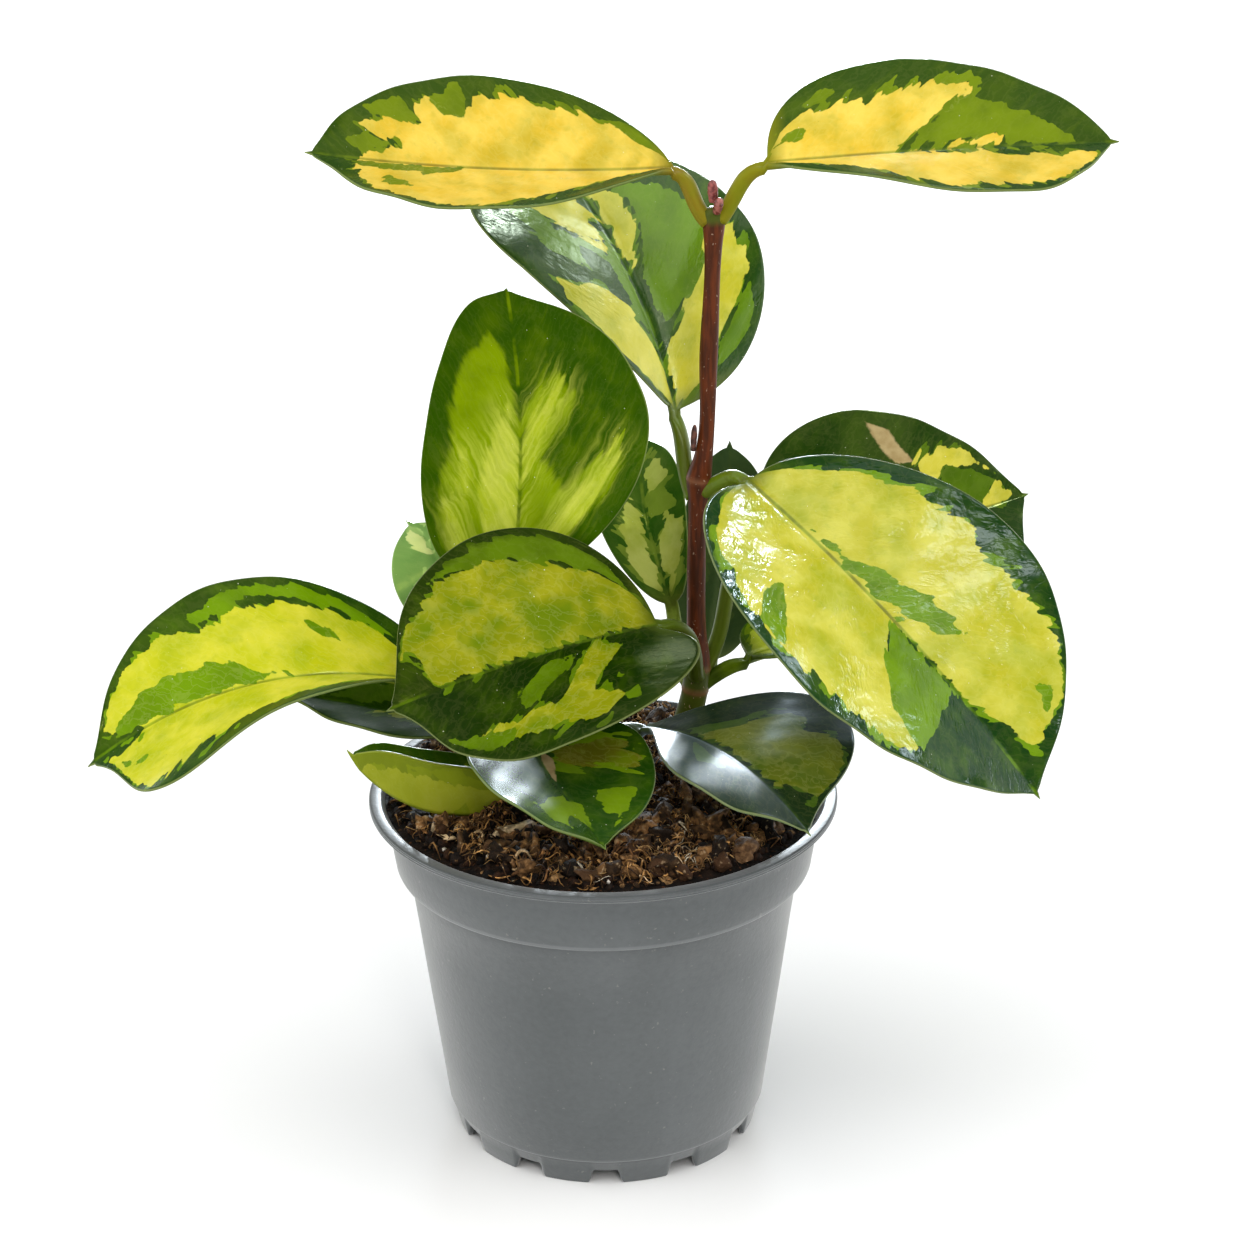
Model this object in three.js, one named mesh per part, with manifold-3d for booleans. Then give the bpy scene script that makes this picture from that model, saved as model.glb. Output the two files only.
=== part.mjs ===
// A wax plant with variegated leaves in a grey nursery pot. Millimetres, +Z up.
// Everything is laid out from the pot's own axis, with the pot's feet at height 0,
// and the whole plant is centred on its outer box at the very end.

import * as THREE from "three";
import { mergeVertices } from "three/addons/utils/BufferGeometryUtils.js";
import Module from "manifold-3d";

const wasm = await Module();
wasm.setup();

// Pot: a 12 cm nursery pot, which is the width over its rim
const RIM_R = 60;
const POT_H = 93;
const WALL = 1.2;
const EDGE = 0.4;
const LIP_H = 1.8;
const RIM_FLAT = 2.9;
const BAND_TOP_R = 55.8;
const BAND_LOW_R = 53.5;
const BAND_LOW_Z = 75;
const STEP_R = 50.6;
const FLARE_Z = 90.2;
const SEAM_R = 41.5;
const SEAM_Z = 7.7;
const FOOT_RING_R = 40.9;
const FOOT_R = 39.2;
const FLOOR_Z = 5;
const FEET = 12;
const NOTCH_H = 3.7;
const NOTCH_TOP_W = 6;
const NOTCH_LOW_W = 9;
const NOTCH_START_R = 33;
const DRAIN_HOLES = 6;
const DRAIN_R = 4;
const DRAIN_PITCH_R = 27;
const DRAIN_SIDES = 12;
const POT_SIDES = 60;

// Potting mix: it fills the pot and is heaped a little behind and to the left
const GAP = 0.3;
const WALL_GAP = 0.5;
const SOIL_EDGE_R = 55.5;
const SOIL_EDGE_Z = 91.8;
const SOIL_MOUND = 3;
const SOIL_SIDES = 30;
const SOIL_RINGS = [1, 0.9, 0.75, 0.58, 0.4, 0.2];
const HEAPS = [
  { x: -38, y: 24, height: 2.4, width: 15 },
  { x: 30, y: 36, height: 2, width: 14 },
  { x: 10, y: -30, height: 0.9, width: 16 },
];

// Leaves: thick and waxy, with a blunt margin and a midrib that shows below
const LEAF_RIM = 0.8;
const LEAF_SWELL = 0.5;
const MIDRIB_RIDGE = 1.3;
const NECK = 1.6;
const DRIP = 4;
const PETIOLE_R = 2;
const LEAF_STATIONS = 11;
const FIRST_STATION = 0.35;
const LEAF_COLUMNS = 3;
const PETIOLE_STATIONS = 5;
const PETIOLE_BEND = 0.4;
const TIP_THIN_FROM = 7 / 8;

const LEAF_GREEN = 0x6f9a2c;
const STEM_BROWN = 0x6b3426;
const SHOOT_GREEN = 0x6f7d25;
const BUD_RED = 0x8a3b3a;
const POT_GREY = 0x75797c;
const SOIL_BROWN = 0x2c1d14;

// Stems: each row is a place on the stem's axis and the stem's radius there.
// They stand in the potting mix and swell a little where leaves set off from them.
const STEM_SIDES = 10;
const STEMS = {
  stem_main: [
    [19, 23, 78, 2.6],
    [20.8, 22, 98, 3.4],
    [24, 20, 112.5, 3.4],
    [24.6, 20, 119.5, 3.3],
    [24.3, 19.4, 128, 2.6],
    [24.2, 19, 146, 2.4],
    [24.6, 18, 166.5, 2.6],
    [24.8, 18, 171, 3.1],
    [25.9, 17.8, 177, 2.4],
    [27.2, 16.5, 206, 2.3],
    [28.2, 15.2, 236, 2.3],
    [28.3, 15, 241, 3],
    [28.3, 15, 246, 2.8],
  ],
  stem_left: [
    [-18, 10, 78, 2.4],
    [-20, 10, 96, 2.8],
    [-21, 11, 106, 3],
    [-22, 12, 120, 2.8],
    [-23, 12, 132, 2.8],
  ],
  stem_front: [
    [-8, -6, 78, 2.2],
    [-9, -7, 95, 2.6],
    [-9, -7, 107, 2.8],
  ],
  stem_back: [
    [22, 35, 78, 2],
    [23, 36, 95, 2.2],
    [24, 38, 102, 2.4],
  ],
};

// Leaves. from: the place on the stem's axis that the petiole sets off from, and the
// stem's radius there, or 0 for the stem's own end. leave: the way it sets off.
// heel and tip: where the blade begins and ends. face: where its upper side looks.
// left and right: half widths, seen from above with the tip ahead.
// arch and sway: how far the midrib bends up and to the left between heel and tip.
// fold and cup: how far each half rises from flat, and how much more at the margin.
// belly and skew: where along the blade each half is widest. blunt and sharp: how
// round the heel and the tip are. lobes: how far the margins reach back at the heel.
const LEAVES = [
  {
    name: "leaf_top_left", from: [28.2, 15, 238.6, 2.8], leave: [-80, 5, 60],
    heel: [18, 19, 252], tip: [-70, 6, 260], face: [-1, -48, 88],
    left: 25, right: 25, twist: -7, arch: -3, sway: 0, fold: 19, cup: 3,
    belly: 0.59, skew: 0.06, blunt: 0.59, sharp: 0.56, lobes: [0, 0],
  },
  {
    name: "leaf_top_right", from: [28.2, 15, 238.6, 2.8], leave: [70, -5, 75],
    heel: [41, 12, 255], tip: [125, 6, 261], face: [0, -51, 86],
    left: 25, right: 22, twist: -3, arch: 2, sway: -1, fold: 18, cup: 0,
    belly: 0.54, skew: -0.16, blunt: 0.51, sharp: 0.62, lobes: [0, 0],
  },
  {
    name: "leaf_upper_back", from: [24.8, 18, 164, 2.8], leave: [-45, 35, 80],
    heel: [19, 25, 187], tip: [-22, 69, 255], face: [44, -77, 46],
    left: 37, right: 35, twist: 12, arch: 4, sway: -5, fold: 18, cup: -6,
    belly: 0.51, skew: 0.15, blunt: 0.55, sharp: 1.2, lobes: [6, 0],
  },
  {
    name: "leaf_big_right", from: [24.8, 18, 167.5, 3], leave: [80, -30, 50],
    heel: [37, 12, 173], tip: [108, -32, 105], face: [31, -73, 60],
    left: 38, right: 37, twist: 18, arch: 5, sway: 1, fold: 15, cup: 3,
    belly: 0.52, skew: 0.02, blunt: 0.59, sharp: 0.63, lobes: [4, 12],
  },
  {
    name: "leaf_back_right", from: [24.6, 20, 116.5, 3], leave: [60, 40, 60],
    heel: [43, 42, 145], tip: [114, 64, 149], face: [2, -57, 82],
    left: 35, right: 33, twist: 0, arch: 3, sway: -5, fold: 12, cup: 0,
    belly: 0.52, skew: -0.11, blunt: 0.51, sharp: 0.66, lobes: [0, 0],
  },
  {
    name: "leaf_front", from: [24.6, 20, 116.5, 3.2], leave: [-10, -90, 30],
    heel: [14, -2, 140], tip: [-53, -25, 127], face: [-8, -63, 77],
    left: 32, right: 34, twist: -1, arch: 2, sway: -1, fold: 16, cup: -1,
    belly: 0.53, skew: 0.05, blunt: 0.56, sharp: 0.42, lobes: [9, 1],
  },
  {
    name: "leaf_lime_right", from: [24, 20, 112.5, 3.4], leave: [70, 15, 40],
    heel: [38, 24, 120], tip: [73, 37, 118], face: [1, 6, 100],
    left: 18, right: 16, twist: -2, arch: 2, sway: 0, fold: 12, cup: -2,
    belly: 0.42, skew: -0.03, blunt: 0.47, sharp: 0.85, lobes: [0, 0],
  },
  {
    name: "leaf_mid_back", from: [24, 20, 112, 3.4], leave: [-50, 80, 30],
    heel: [18, 33, 131], tip: [10, 56, 170], face: [-5, -92, 40],
    left: 13, right: 11, twist: 0, arch: 8, sway: 2, fold: 12, cup: 1,
    belly: 0.6, skew: 0.01, blunt: 0.35, sharp: 0.4, lobes: [0, 0],
  },
  {
    name: "leaf_grey_back", from: [24, 38, 102, 0], leave: [14, 29, 95],
    heel: [29, 47, 109], tip: [34, 63, 165], face: [11, 91, 40],
    left: 13, right: 13, twist: 0, arch: 4, sway: 1, fold: 12, cup: 0,
    belly: 0.48, skew: 0.01, blunt: 0.46, sharp: 0.46, lobes: [0, 0],
  },
  {
    name: "leaf_tall_left", from: [-23, 12, 132, 0], leave: [-8, 0, 100],
    heel: [-23, 14, 143.5], tip: [-23, 22, 220.5], face: [-30, -94, 14],
    left: 26, right: 35, twist: 7, arch: -3, sway: -2, fold: 1, cup: 7,
    belly: 0.48, skew: -0.11, blunt: 0.48, sharp: 0.4, lobes: [0, 0],
  },
  {
    name: "leaf_small_back_left", from: [-22, 12, 120, 2.8], leave: [-70, 70, 10],
    heel: [-39, 24, 128], tip: [-51, 40, 152], face: [-10, -81, 58],
    left: 13, right: 13, twist: 0, arch: 8, sway: -4, fold: 12, cup: 0,
    belly: 0.45, skew: 0, blunt: 0.54, sharp: 0.62, lobes: [0, 0],
  },
  {
    name: "leaf_far_left", from: [-22, 12, 120, 2.8], leave: [-70, -70, 10],
    heel: [-41, -2, 124], tip: [-128, -22, 111], face: [-25, -40, 88],
    left: 30, right: 30, twist: 22, arch: 10, sway: -5, fold: 18, cup: 5,
    belly: 0.64, skew: 0.16, blunt: 0.36, sharp: 0.47, lobes: [0, 0],
  },
  {
    name: "leaf_under_left", from: [-21, 11, 106, 3], leave: [-60, -70, 30],
    heel: [-31, 2, 111], tip: [-84, 11, 117], face: [-15, -12, 98],
    left: 15, right: 15, twist: -2, arch: -1, sway: -1, fold: 12, cup: -2,
    belly: 0.44, skew: -0.01, blunt: 0.56, sharp: 0.86, lobes: [0, 0],
  },
  {
    name: "leaf_low_left", from: [-9, -7, 99, 2.7], leave: [-90, -30, 10],
    heel: [-20, -18, 100], tip: [-63, -26, 117], face: [1, 30, 95],
    left: 13, right: 15, twist: 0, arch: -8, sway: -1, fold: 62, cup: 0,
    belly: 0.45, skew: 0, blunt: 0.55, sharp: 0.49, lobes: [0, 0],
  },
  {
    name: "leaf_front_low", from: [-21.2, 11.3, 111, 2.9], leave: [10, -90, 30],
    heel: [-19, -17, 115], tip: [1, -54, 103], face: [24, -30, 92],
    left: 25, right: 24, twist: 7, arch: -1, sway: 1, fold: 14, cup: 6,
    belly: 0.35, skew: 0.01, blunt: 0.49, sharp: 0.4, lobes: [0, 0],
  },
  {
    name: "leaf_low_right", from: [-9, -7, 103, 2.8], leave: [70, 60, 20],
    heel: [11, 4, 109], tip: [51, -43, 101], face: [22, -34, 91],
    left: 31, right: 22, twist: 16, arch: 7, sway: 1, fold: 13, cup: -2,
    belly: 0.64, skew: -0.01, blunt: 0.73, sharp: 0.4, lobes: [0, 0],
  },
];

// Buds: small pointed shoots. Each has a foot, a head and its thickest radius, and
// they share one outline of [share of the length, share of the radius].
const BUD_SIDES = 8;
const BUD_SHAPE = [[0, 0.7], [0.3, 1], [0.6, 0.9], [0.85, 0.5], [1, 0.12]];
const BUDS = {
  bud_upper: { foot: [28, 14.8, 246.5], head: [27.9, 14.2, 249.8], radius: 1.5 },
  bud_lower: { foot: [29.1, 11.4, 245.2], head: [29.6, 9, 247], radius: 1.5 },
  dormant_shoot: { foot: [22.6, 17, 179.6], head: [23.6, 16.4, 186.4], radius: 0.8 },
};

const X = new THREE.Vector3(1, 0, 0);
const Y = new THREE.Vector3(0, 1, 0);
const vec = (p) => new THREE.Vector3(p[0], p[1], p[2]);

const paint = (color, roughness) => new THREE.MeshStandardMaterial({ color, roughness });

const piece = (name, geometry, color, roughness) => {
  const mesh = new THREE.Mesh(geometry, paint(color, roughness));
  mesh.name = name;
  return mesh;
};

function middle(points) {
  const sum = points.reduce((total, p) => total.add(p), new THREE.Vector3());
  return sum.divideScalar(points.length);
}

// One closed skin over a row of rings with the same number of points each, run
// anticlockwise seen from the last ring. It closes on a point at each end: the middle
// of the first ring, and the middle of the last one or a tip beyond it.
function loft(rings, tip = middle(rings[rings.length - 1])) {
  const count = rings[0].length;
  const points = [...rings.flat(), middle(rings[0]), tip];
  const first = points.length - 2;
  const last = points.length - 1;
  const top = (rings.length - 1) * count;
  const index = [];
  for (let k = 0; k < count; k++) {
    const next = (k + 1) % count;
    index.push(first, next, k);
    index.push(last, top + k, top + next);
    for (let i = 0; i < rings.length - 1; i++) {
      const a = i * count + k;
      const b = i * count + next;
      index.push(a, b, b + count);
      index.push(a, b + count, a + count);
    }
  }
  const geometry = new THREE.BufferGeometry().setFromPoints(points);
  geometry.setIndex(index);
  geometry.computeVertexNormals();
  return geometry;
}

// A ring of points about a place, in the plane of two directions.
function ring(centre, across, up, radius, count, start = 0) {
  const points = [];
  for (let k = 0; k < count; k++) {
    const angle = start + (2 * Math.PI * k) / count;
    points.push(centre.clone()
      .addScaledVector(across, radius * Math.cos(angle))
      .addScaledVector(up, radius * Math.sin(angle)));
  }
  return points;
}

// The two directions across a path, the first of them as near as can be to a wish.
function crossing(tangent, wish) {
  const across = wish.clone().addScaledVector(tangent, -wish.dot(tangent)).normalize();
  return [across, tangent.clone().cross(across)];
}

// Solids for cutting
function toSolid(geometry) {
  const bare = geometry.clone();
  bare.deleteAttribute("normal");
  bare.deleteAttribute("uv");
  const merged = mergeVertices(bare, 1e-4);
  const mesh = new wasm.Mesh({
    numProp: 3,
    vertProperties: new Float32Array(merged.attributes.position.array),
    triVerts: new Uint32Array(merged.index.array),
  });
  return new wasm.Manifold(mesh);
}

function toGeometry(solid) {
  const mesh = solid.getMesh();
  const geometry = new THREE.BufferGeometry();
  geometry.setAttribute("position", new THREE.BufferAttribute(mesh.vertProperties, 3));
  geometry.setIndex(new THREE.BufferAttribute(mesh.triVerts, 1));
  geometry.computeVertexNormals();
  return geometry;
}

// A turned shape about +Z. Its profile of [radius, height] points sets out from the
// axis, goes round the outside and comes back to the axis.
function turned(profile) {
  const points = profile.map(([r, z]) => new THREE.Vector2(r, z));
  return new THREE.LatheGeometry(points, POT_SIDES).rotateX(Math.PI / 2);
}

const bodyRadius = (z) =>
  THREE.MathUtils.mapLinear(z, SEAM_Z, BAND_LOW_Z, SEAM_R, STEP_R);

const bandRadius = (z) =>
  THREE.MathUtils.mapLinear(z, BAND_LOW_Z, POT_H - LIP_H, BAND_LOW_R, BAND_TOP_R);

// Inside of the pot, from the floor to the rim, which the mix follows
const INSIDE = [
  [bodyRadius(FLOOR_Z + WALL) - WALL, FLOOR_Z + WALL],
  [STEP_R - WALL, BAND_LOW_Z + EDGE],
  [BAND_LOW_R - WALL, BAND_LOW_Z + EDGE + WALL],
  [bandRadius(FLARE_Z) - WALL, FLARE_Z],
  [RIM_R - RIM_FLAT, POT_H],
];

// A gap between two feet, wider at the bottom, as a bar that runs out from the axis.
function notch(angle) {
  const low = NOTCH_LOW_W / 2;
  const top = NOTCH_TOP_W / 2;
  const right = [[low, -WALL], [low, EDGE], [top, NOTCH_H - EDGE], [top - EDGE, NOTCH_H]];
  const left = right.map(([x, z]) => [-x, z]).reverse();
  const outline = new THREE.Shape([...right, ...left].map(([x, z]) => new THREE.Vector2(x, z)));
  const depth = RIM_R - NOTCH_START_R;
  const bar = new THREE.ExtrudeGeometry(outline, { depth, bevelEnabled: false, steps: 1 });
  bar.rotateX(Math.PI / 2);
  bar.translate(0, -NOTCH_START_R, 0);
  return toSolid(bar.rotateZ(angle));
}

function drain(angle) {
  const hole = new THREE.CylinderGeometry(DRAIN_R, DRAIN_R, 4 * WALL, DRAIN_SIDES);
  hole.rotateX(Math.PI / 2);
  hole.translate(DRAIN_PITCH_R, 0, FLOOR_Z + WALL / 2);
  return toSolid(hole.rotateZ(angle));
}

function makePot() {
  const shell = turned([
    [0, FLOOR_Z],
    [FOOT_RING_R - WALL - EDGE, FLOOR_Z],
    [FOOT_R - WALL, 0],
    [FOOT_R, 0],
    [FOOT_RING_R, SEAM_Z - EDGE],
    [SEAM_R, SEAM_Z],
    [STEP_R, BAND_LOW_Z - EDGE],
    [BAND_LOW_R - EDGE, BAND_LOW_Z],
    [BAND_LOW_R, BAND_LOW_Z + EDGE],
    [BAND_TOP_R, POT_H - LIP_H],
    [RIM_R - EDGE, POT_H - LIP_H],
    [RIM_R, POT_H - LIP_H + EDGE],
    [RIM_R, POT_H - EDGE],
    [RIM_R - EDGE, POT_H],
    ...INSIDE.toReversed(),
    [0, FLOOR_Z + WALL],
  ]);
  let solid = toSolid(shell);
  for (let k = 0; k < FEET; k++) solid = solid.subtract(notch((2 * Math.PI * k) / FEET));
  for (let k = 0; k < DRAIN_HOLES; k++) solid = solid.subtract(drain((2 * Math.PI * k) / DRAIN_HOLES));
  return toGeometry(solid);
}

// Height of the mix's top at a place: a low mound with a few heaps.
function soilTop(x, y) {
  const share = Math.hypot(x, y) / SOIL_EDGE_R;
  let z = SOIL_EDGE_Z + SOIL_MOUND * (1 - share * share);
  for (const heap of HEAPS) {
    const away = ((x - heap.x) ** 2 + (y - heap.y) ** 2) / heap.width ** 2;
    z += heap.height * Math.exp(-away);
  }
  return z;
}

function makeSoil() {
  const level = (r, z) => ring(new THREE.Vector3(0, 0, z), X, Y, r, SOIL_SIDES);
  const wall = INSIDE.slice(0, 4).map(([r, z], i) => level(r - WALL_GAP, i ? z : z + WALL_GAP));
  const top = SOIL_RINGS.map((share) =>
    level(SOIL_EDGE_R * share, 0).map((p) => p.setZ(soilTop(p.x, p.y))));
  return loft([...wall, ...top]);
}

// A stem: round rings along a smooth path through its rows.
function makeStem(rows) {
  const path = new THREE.CatmullRomCurve3(rows.map(vec), false, "centripetal");
  const rings = [];
  rows.forEach((row, i) => {
    const t = i / (rows.length - 1);
    const [across, up] = crossing(path.getTangent(t), X);
    rings.push(ring(path.getPoint(t), across, up, row[3], STEM_SIDES));
  });
  return loft(rings);
}

// A socket in the mix around a stem, wider than the stem by the gap.
function socket(rows) {
  const foot = rows[0].slice();
  foot[2] -= GAP;
  const wider = [foot, ...rows.slice(1, 3)].map(([x, y, z, r]) => [x, y, z, r + 1.5 * GAP]);
  return toSolid(makeStem(wider));
}

function pottingMix() {
  let solid = toSolid(makeSoil());
  for (const rows of Object.values(STEMS)) solid = solid.subtract(socket(rows));
  return toGeometry(solid);
}

// How wide a blade is at a share u of its length, on one side of the midrib.
function halfWidth(leaf, u, side, drip) {
  const along = Math.min(u / (1 - drip), 1);
  const widest = leaf.belly + leaf.skew * side;
  const bent = along ** (Math.log(0.5) / Math.log(widest));
  const power = leaf.blunt + (leaf.sharp - leaf.blunt) * along;
  const full = side > 0 ? leaf.left : leaf.right;
  const body = full * Math.max(Math.sin(Math.PI * bent), 0) ** power;
  return Math.max(body, NECK * Math.min(1, (1 - u) / drip));
}

// The blade's own directions: along it, out of its upper side and to its left.
function bladeFrame(leaf) {
  const heel = vec(leaf.heel);
  const axis = vec(leaf.tip).sub(heel).normalize();
  const face = vec(leaf.face);
  const up = face.addScaledVector(axis, -face.dot(axis)).normalize();
  const left = up.clone().cross(axis);
  return { heel, axis, up, left, length: heel.distanceTo(vec(leaf.tip)) };
}

// A point of the blade's upper side and the direction out of it there,
// for u from heel to tip and v from +1 on the left margin to -1 on the right.
function bladePoint(leaf, frame, u, v) {
  const turn = THREE.MathUtils.degToRad(leaf.twist * (u - 0.5));
  const up = frame.up.clone().multiplyScalar(Math.cos(turn)).addScaledVector(frame.left, Math.sin(turn));
  const left = frame.left.clone().multiplyScalar(Math.cos(turn)).addScaledVector(frame.up, -Math.sin(turn));
  const side = Math.sign(v);
  const out = Math.abs(v);
  const hump = 4 * u * (1 - u);
  const half = halfWidth(leaf, u, side || 1, DRIP / frame.length);
  const width = out * half;
  const back = Math.sin(Math.PI * Math.min(2 * u, 1) ** 0.6) * Math.max(1 - NECK / half, 0);
  const lobe = leaf.lobes[side < 0 ? 1 : 0] * out * out * back;
  const rise = THREE.MathUtils.degToRad(leaf.fold + leaf.cup * (out - 0.5));
  const place = frame.heel.clone()
    .addScaledVector(frame.axis, u * frame.length - lobe)
    .addScaledVector(frame.up, hump * leaf.arch)
    .addScaledVector(frame.left, hump * leaf.sway)
    .addScaledVector(left, side * width * Math.cos(rise))
    .addScaledVector(up, width * Math.sin(rise));
  const normal = up.multiplyScalar(Math.cos(rise * out)).addScaledVector(left, -side * Math.sin(rise * out));
  return { place, normal };
}

// The ring of a blade at u: across its upper side and back along its lower side.
function bladeRing(leaf, frame, u) {
  const upper = [];
  const lower = [];
  for (let k = LEAF_COLUMNS; k >= -LEAF_COLUMNS; k--) {
    const v = k / LEAF_COLUMNS;
    const { place, normal } = bladePoint(leaf, frame, u, v);
    const ridge = k === 0 ? MIDRIB_RIDGE * (1 - u) : 0;
    const thick = LEAF_RIM + LEAF_SWELL * (1 - v * v) + ridge;
    const thin = Math.min(1, (1 - u) / (1 - TIP_THIN_FROM) + 0.25);
    upper.push(place);
    lower.unshift(place.clone().addScaledVector(normal, -thick * thin));
  }
  return [...upper, ...lower];
}

// A whole leaf: its petiole from the stem's node to the heel, then its blade.
function makeLeaf(leaf) {
  const frame = bladeFrame(leaf);
  const leave = vec(leaf.leave).normalize();
  const level = Math.hypot(leave.x, leave.y);
  const clear = leaf.from[3] ? (leaf.from[3] + GAP + PETIOLE_R * Math.abs(leave.z)) / level : 1.5 * GAP;
  const start = vec(leaf.from).addScaledVector(leave, clear);
  const end = frame.heel.clone().addScaledVector(frame.up, -PETIOLE_R);
  const bend = PETIOLE_BEND * start.distanceTo(end);
  const path = new THREE.CubicBezierCurve3(
    start,
    start.clone().addScaledVector(leave, bend),
    end.clone().addScaledVector(frame.axis, -bend),
    end,
  );
  const sides = 4 * LEAF_COLUMNS + 2;
  const rings = [];
  for (let i = 0; i < PETIOLE_STATIONS; i++) {
    const t = i / PETIOLE_STATIONS;
    const [across, up] = crossing(path.getTangent(t), frame.left);
    rings.push(ring(path.getPoint(t), across, up, PETIOLE_R, sides, Math.PI / sides));
  }
  for (let i = 0; i < LEAF_STATIONS; i++) {
    const turn = (Math.PI * (i + FIRST_STATION)) / LEAF_STATIONS;
    rings.push(bladeRing(leaf, frame, (1 - Math.cos(turn)) / 2));
  }
  return loft(rings, vec(leaf.tip).addScaledVector(frame.up, -LEAF_RIM / 4));
}

// A bud: rings that swell and close to a point.
function makeBud({ foot, head, radius }) {
  const from = vec(foot);
  const along = vec(head).sub(from);
  const [across, up] = crossing(along.clone().normalize(), X);
  return loft(BUD_SHAPE.map(([t, share]) =>
    ring(from.clone().addScaledVector(along, t), across, up, radius * share, BUD_SIDES)));
}

// Moves every piece so that the middle of the outer box's underside is the origin.
function centred(group) {
  const box = new THREE.Box3().setFromObject(group, true);
  const middle = box.getCenter(new THREE.Vector3());
  for (const mesh of group.children) mesh.geometry.translate(-middle.x, -middle.y, -box.min.z);
  return group;
}

const plant = new THREE.Group();
plant.add(piece("pot", makePot(), POT_GREY, 0.45));
plant.add(piece("potting_mix", pottingMix(), SOIL_BROWN, 0.95));
for (const [name, rows] of Object.entries(STEMS)) {
  plant.add(piece(name, makeStem(rows), name === "stem_main" ? STEM_BROWN : SHOOT_GREEN, 0.5));
}
for (const leaf of LEAVES) plant.add(piece(leaf.name, makeLeaf(leaf), LEAF_GREEN, 0.3));
for (const [name, bud] of Object.entries(BUDS)) plant.add(piece(name, makeBud(bud), BUD_RED, 0.5));

export default centred(plant);
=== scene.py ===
"""A wax plant with variegated leaves in a grey nursery pot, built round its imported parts."""

import math

import bpy
import numpy as np
from mathutils import Matrix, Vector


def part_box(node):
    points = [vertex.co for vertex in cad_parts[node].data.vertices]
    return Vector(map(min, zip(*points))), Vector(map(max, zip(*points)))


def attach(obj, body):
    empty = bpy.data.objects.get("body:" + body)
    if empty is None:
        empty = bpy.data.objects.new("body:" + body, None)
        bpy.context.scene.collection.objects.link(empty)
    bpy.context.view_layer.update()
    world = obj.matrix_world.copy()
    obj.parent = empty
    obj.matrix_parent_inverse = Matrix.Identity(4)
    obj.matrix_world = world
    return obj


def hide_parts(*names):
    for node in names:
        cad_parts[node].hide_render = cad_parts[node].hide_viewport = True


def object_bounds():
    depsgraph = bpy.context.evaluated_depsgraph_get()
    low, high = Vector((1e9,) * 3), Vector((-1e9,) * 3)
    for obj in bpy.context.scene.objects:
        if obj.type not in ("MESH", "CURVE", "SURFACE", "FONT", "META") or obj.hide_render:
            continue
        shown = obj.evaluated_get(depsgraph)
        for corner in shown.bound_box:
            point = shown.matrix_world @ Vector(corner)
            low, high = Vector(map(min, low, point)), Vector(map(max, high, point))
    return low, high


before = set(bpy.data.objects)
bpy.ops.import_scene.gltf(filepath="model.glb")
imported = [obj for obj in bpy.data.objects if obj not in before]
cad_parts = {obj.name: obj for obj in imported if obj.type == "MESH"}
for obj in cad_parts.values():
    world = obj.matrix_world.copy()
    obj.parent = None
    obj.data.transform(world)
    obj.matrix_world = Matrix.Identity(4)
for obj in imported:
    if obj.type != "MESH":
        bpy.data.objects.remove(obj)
cad_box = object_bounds()

# Where things are. The pot's own box gives its axis, and the plant is laid out from there
# in millimetres, with the feet at height 0, x to the right and y away from the camera.
pot_low, pot_high = (np.array(corner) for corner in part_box("pot"))
POT_AXIS = np.append((pot_low + pot_high)[:2] / 2, 0)


def place(points):
    """Metres in the object's frame, from millimetres out of the pot's axis."""
    return POT_AXIS + 0.001 * np.asarray(points, float)


# The camera looks down on the plant from the front with a short telephoto lens, turned by
# less than half a degree.
CAMERA_AT = (6.4, -806.2, 480.5)
CAMERA_DOWN = math.radians(23)
CAMERA_ROLL = math.radians(-0.4)


def put(name, data):
    """An object in the scene for a camera, a lamp or a mesh."""
    made = bpy.data.objects.new(name, data)
    bpy.context.collection.objects.link(made)
    return made


lens = bpy.data.cameras.new("camera")
lens.lens = 100
lens.sensor_width = 36
lens.clip_start = 0.05
camera = put("camera", lens)
turn = Matrix.Rotation(math.pi / 2 - CAMERA_DOWN, 4, "X") @ Matrix.Rotation(CAMERA_ROLL, 4, "Z")
camera.matrix_world = Matrix.Translation(place(CAMERA_AT)) @ turn
bpy.context.scene.camera = camera

# Light: a big soft box overhead, a soft key over the camera's right shoulder and a wide strip
# to each side. Cool windows and low side panels behind the plant only show as gleams on the
# wax and the plastic, and the surround is a dim white.
SUNS = {  # azimuth, elevation and width in degrees, strength and tint
    "key": (167, 35, 12, 0.5, (1, 0.98, 0.94)),
    "overhead": (195, 74, 70, 1.75, (1, 0.99, 0.97)),
    "right_strip": (92, 10, 75, 1.75, (0.97, 0.99, 1)),
    "left_strip": (264, 10, 75, 1.9, (0.97, 0.99, 1)),
}
WINDOWS = {  # azimuth and elevation in degrees, width and height in metres, watts
    "low_window": (3, 10, 0.3, 0.36, 30),
    "mid_window": (17, 21, 0.26, 0.2, 6),
    "high_window": (56, 56, 0.1, 0.1, 5),
    "tall_window": (63, 39, 0.1, 0.18, 1.1),
    "back_window": (1, 60, 0.12, 0.08, 1.1),
    "left_panel": (315, 4, 0.9, 0.45, 3),
    "right_panel": (48, 4, 0.9, 0.45, 4),
}
WINDOW_TINT = (0.84, 0.93, 1)
LAMP_AWAY = {"SUN": 2, "AREA": 1.3}
LIT_POINT = (0, 0, 150)
SURROUND_TINT = (1, 0.995, 0.985, 1)
SURROUND_STRENGTH = 0.38


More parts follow.
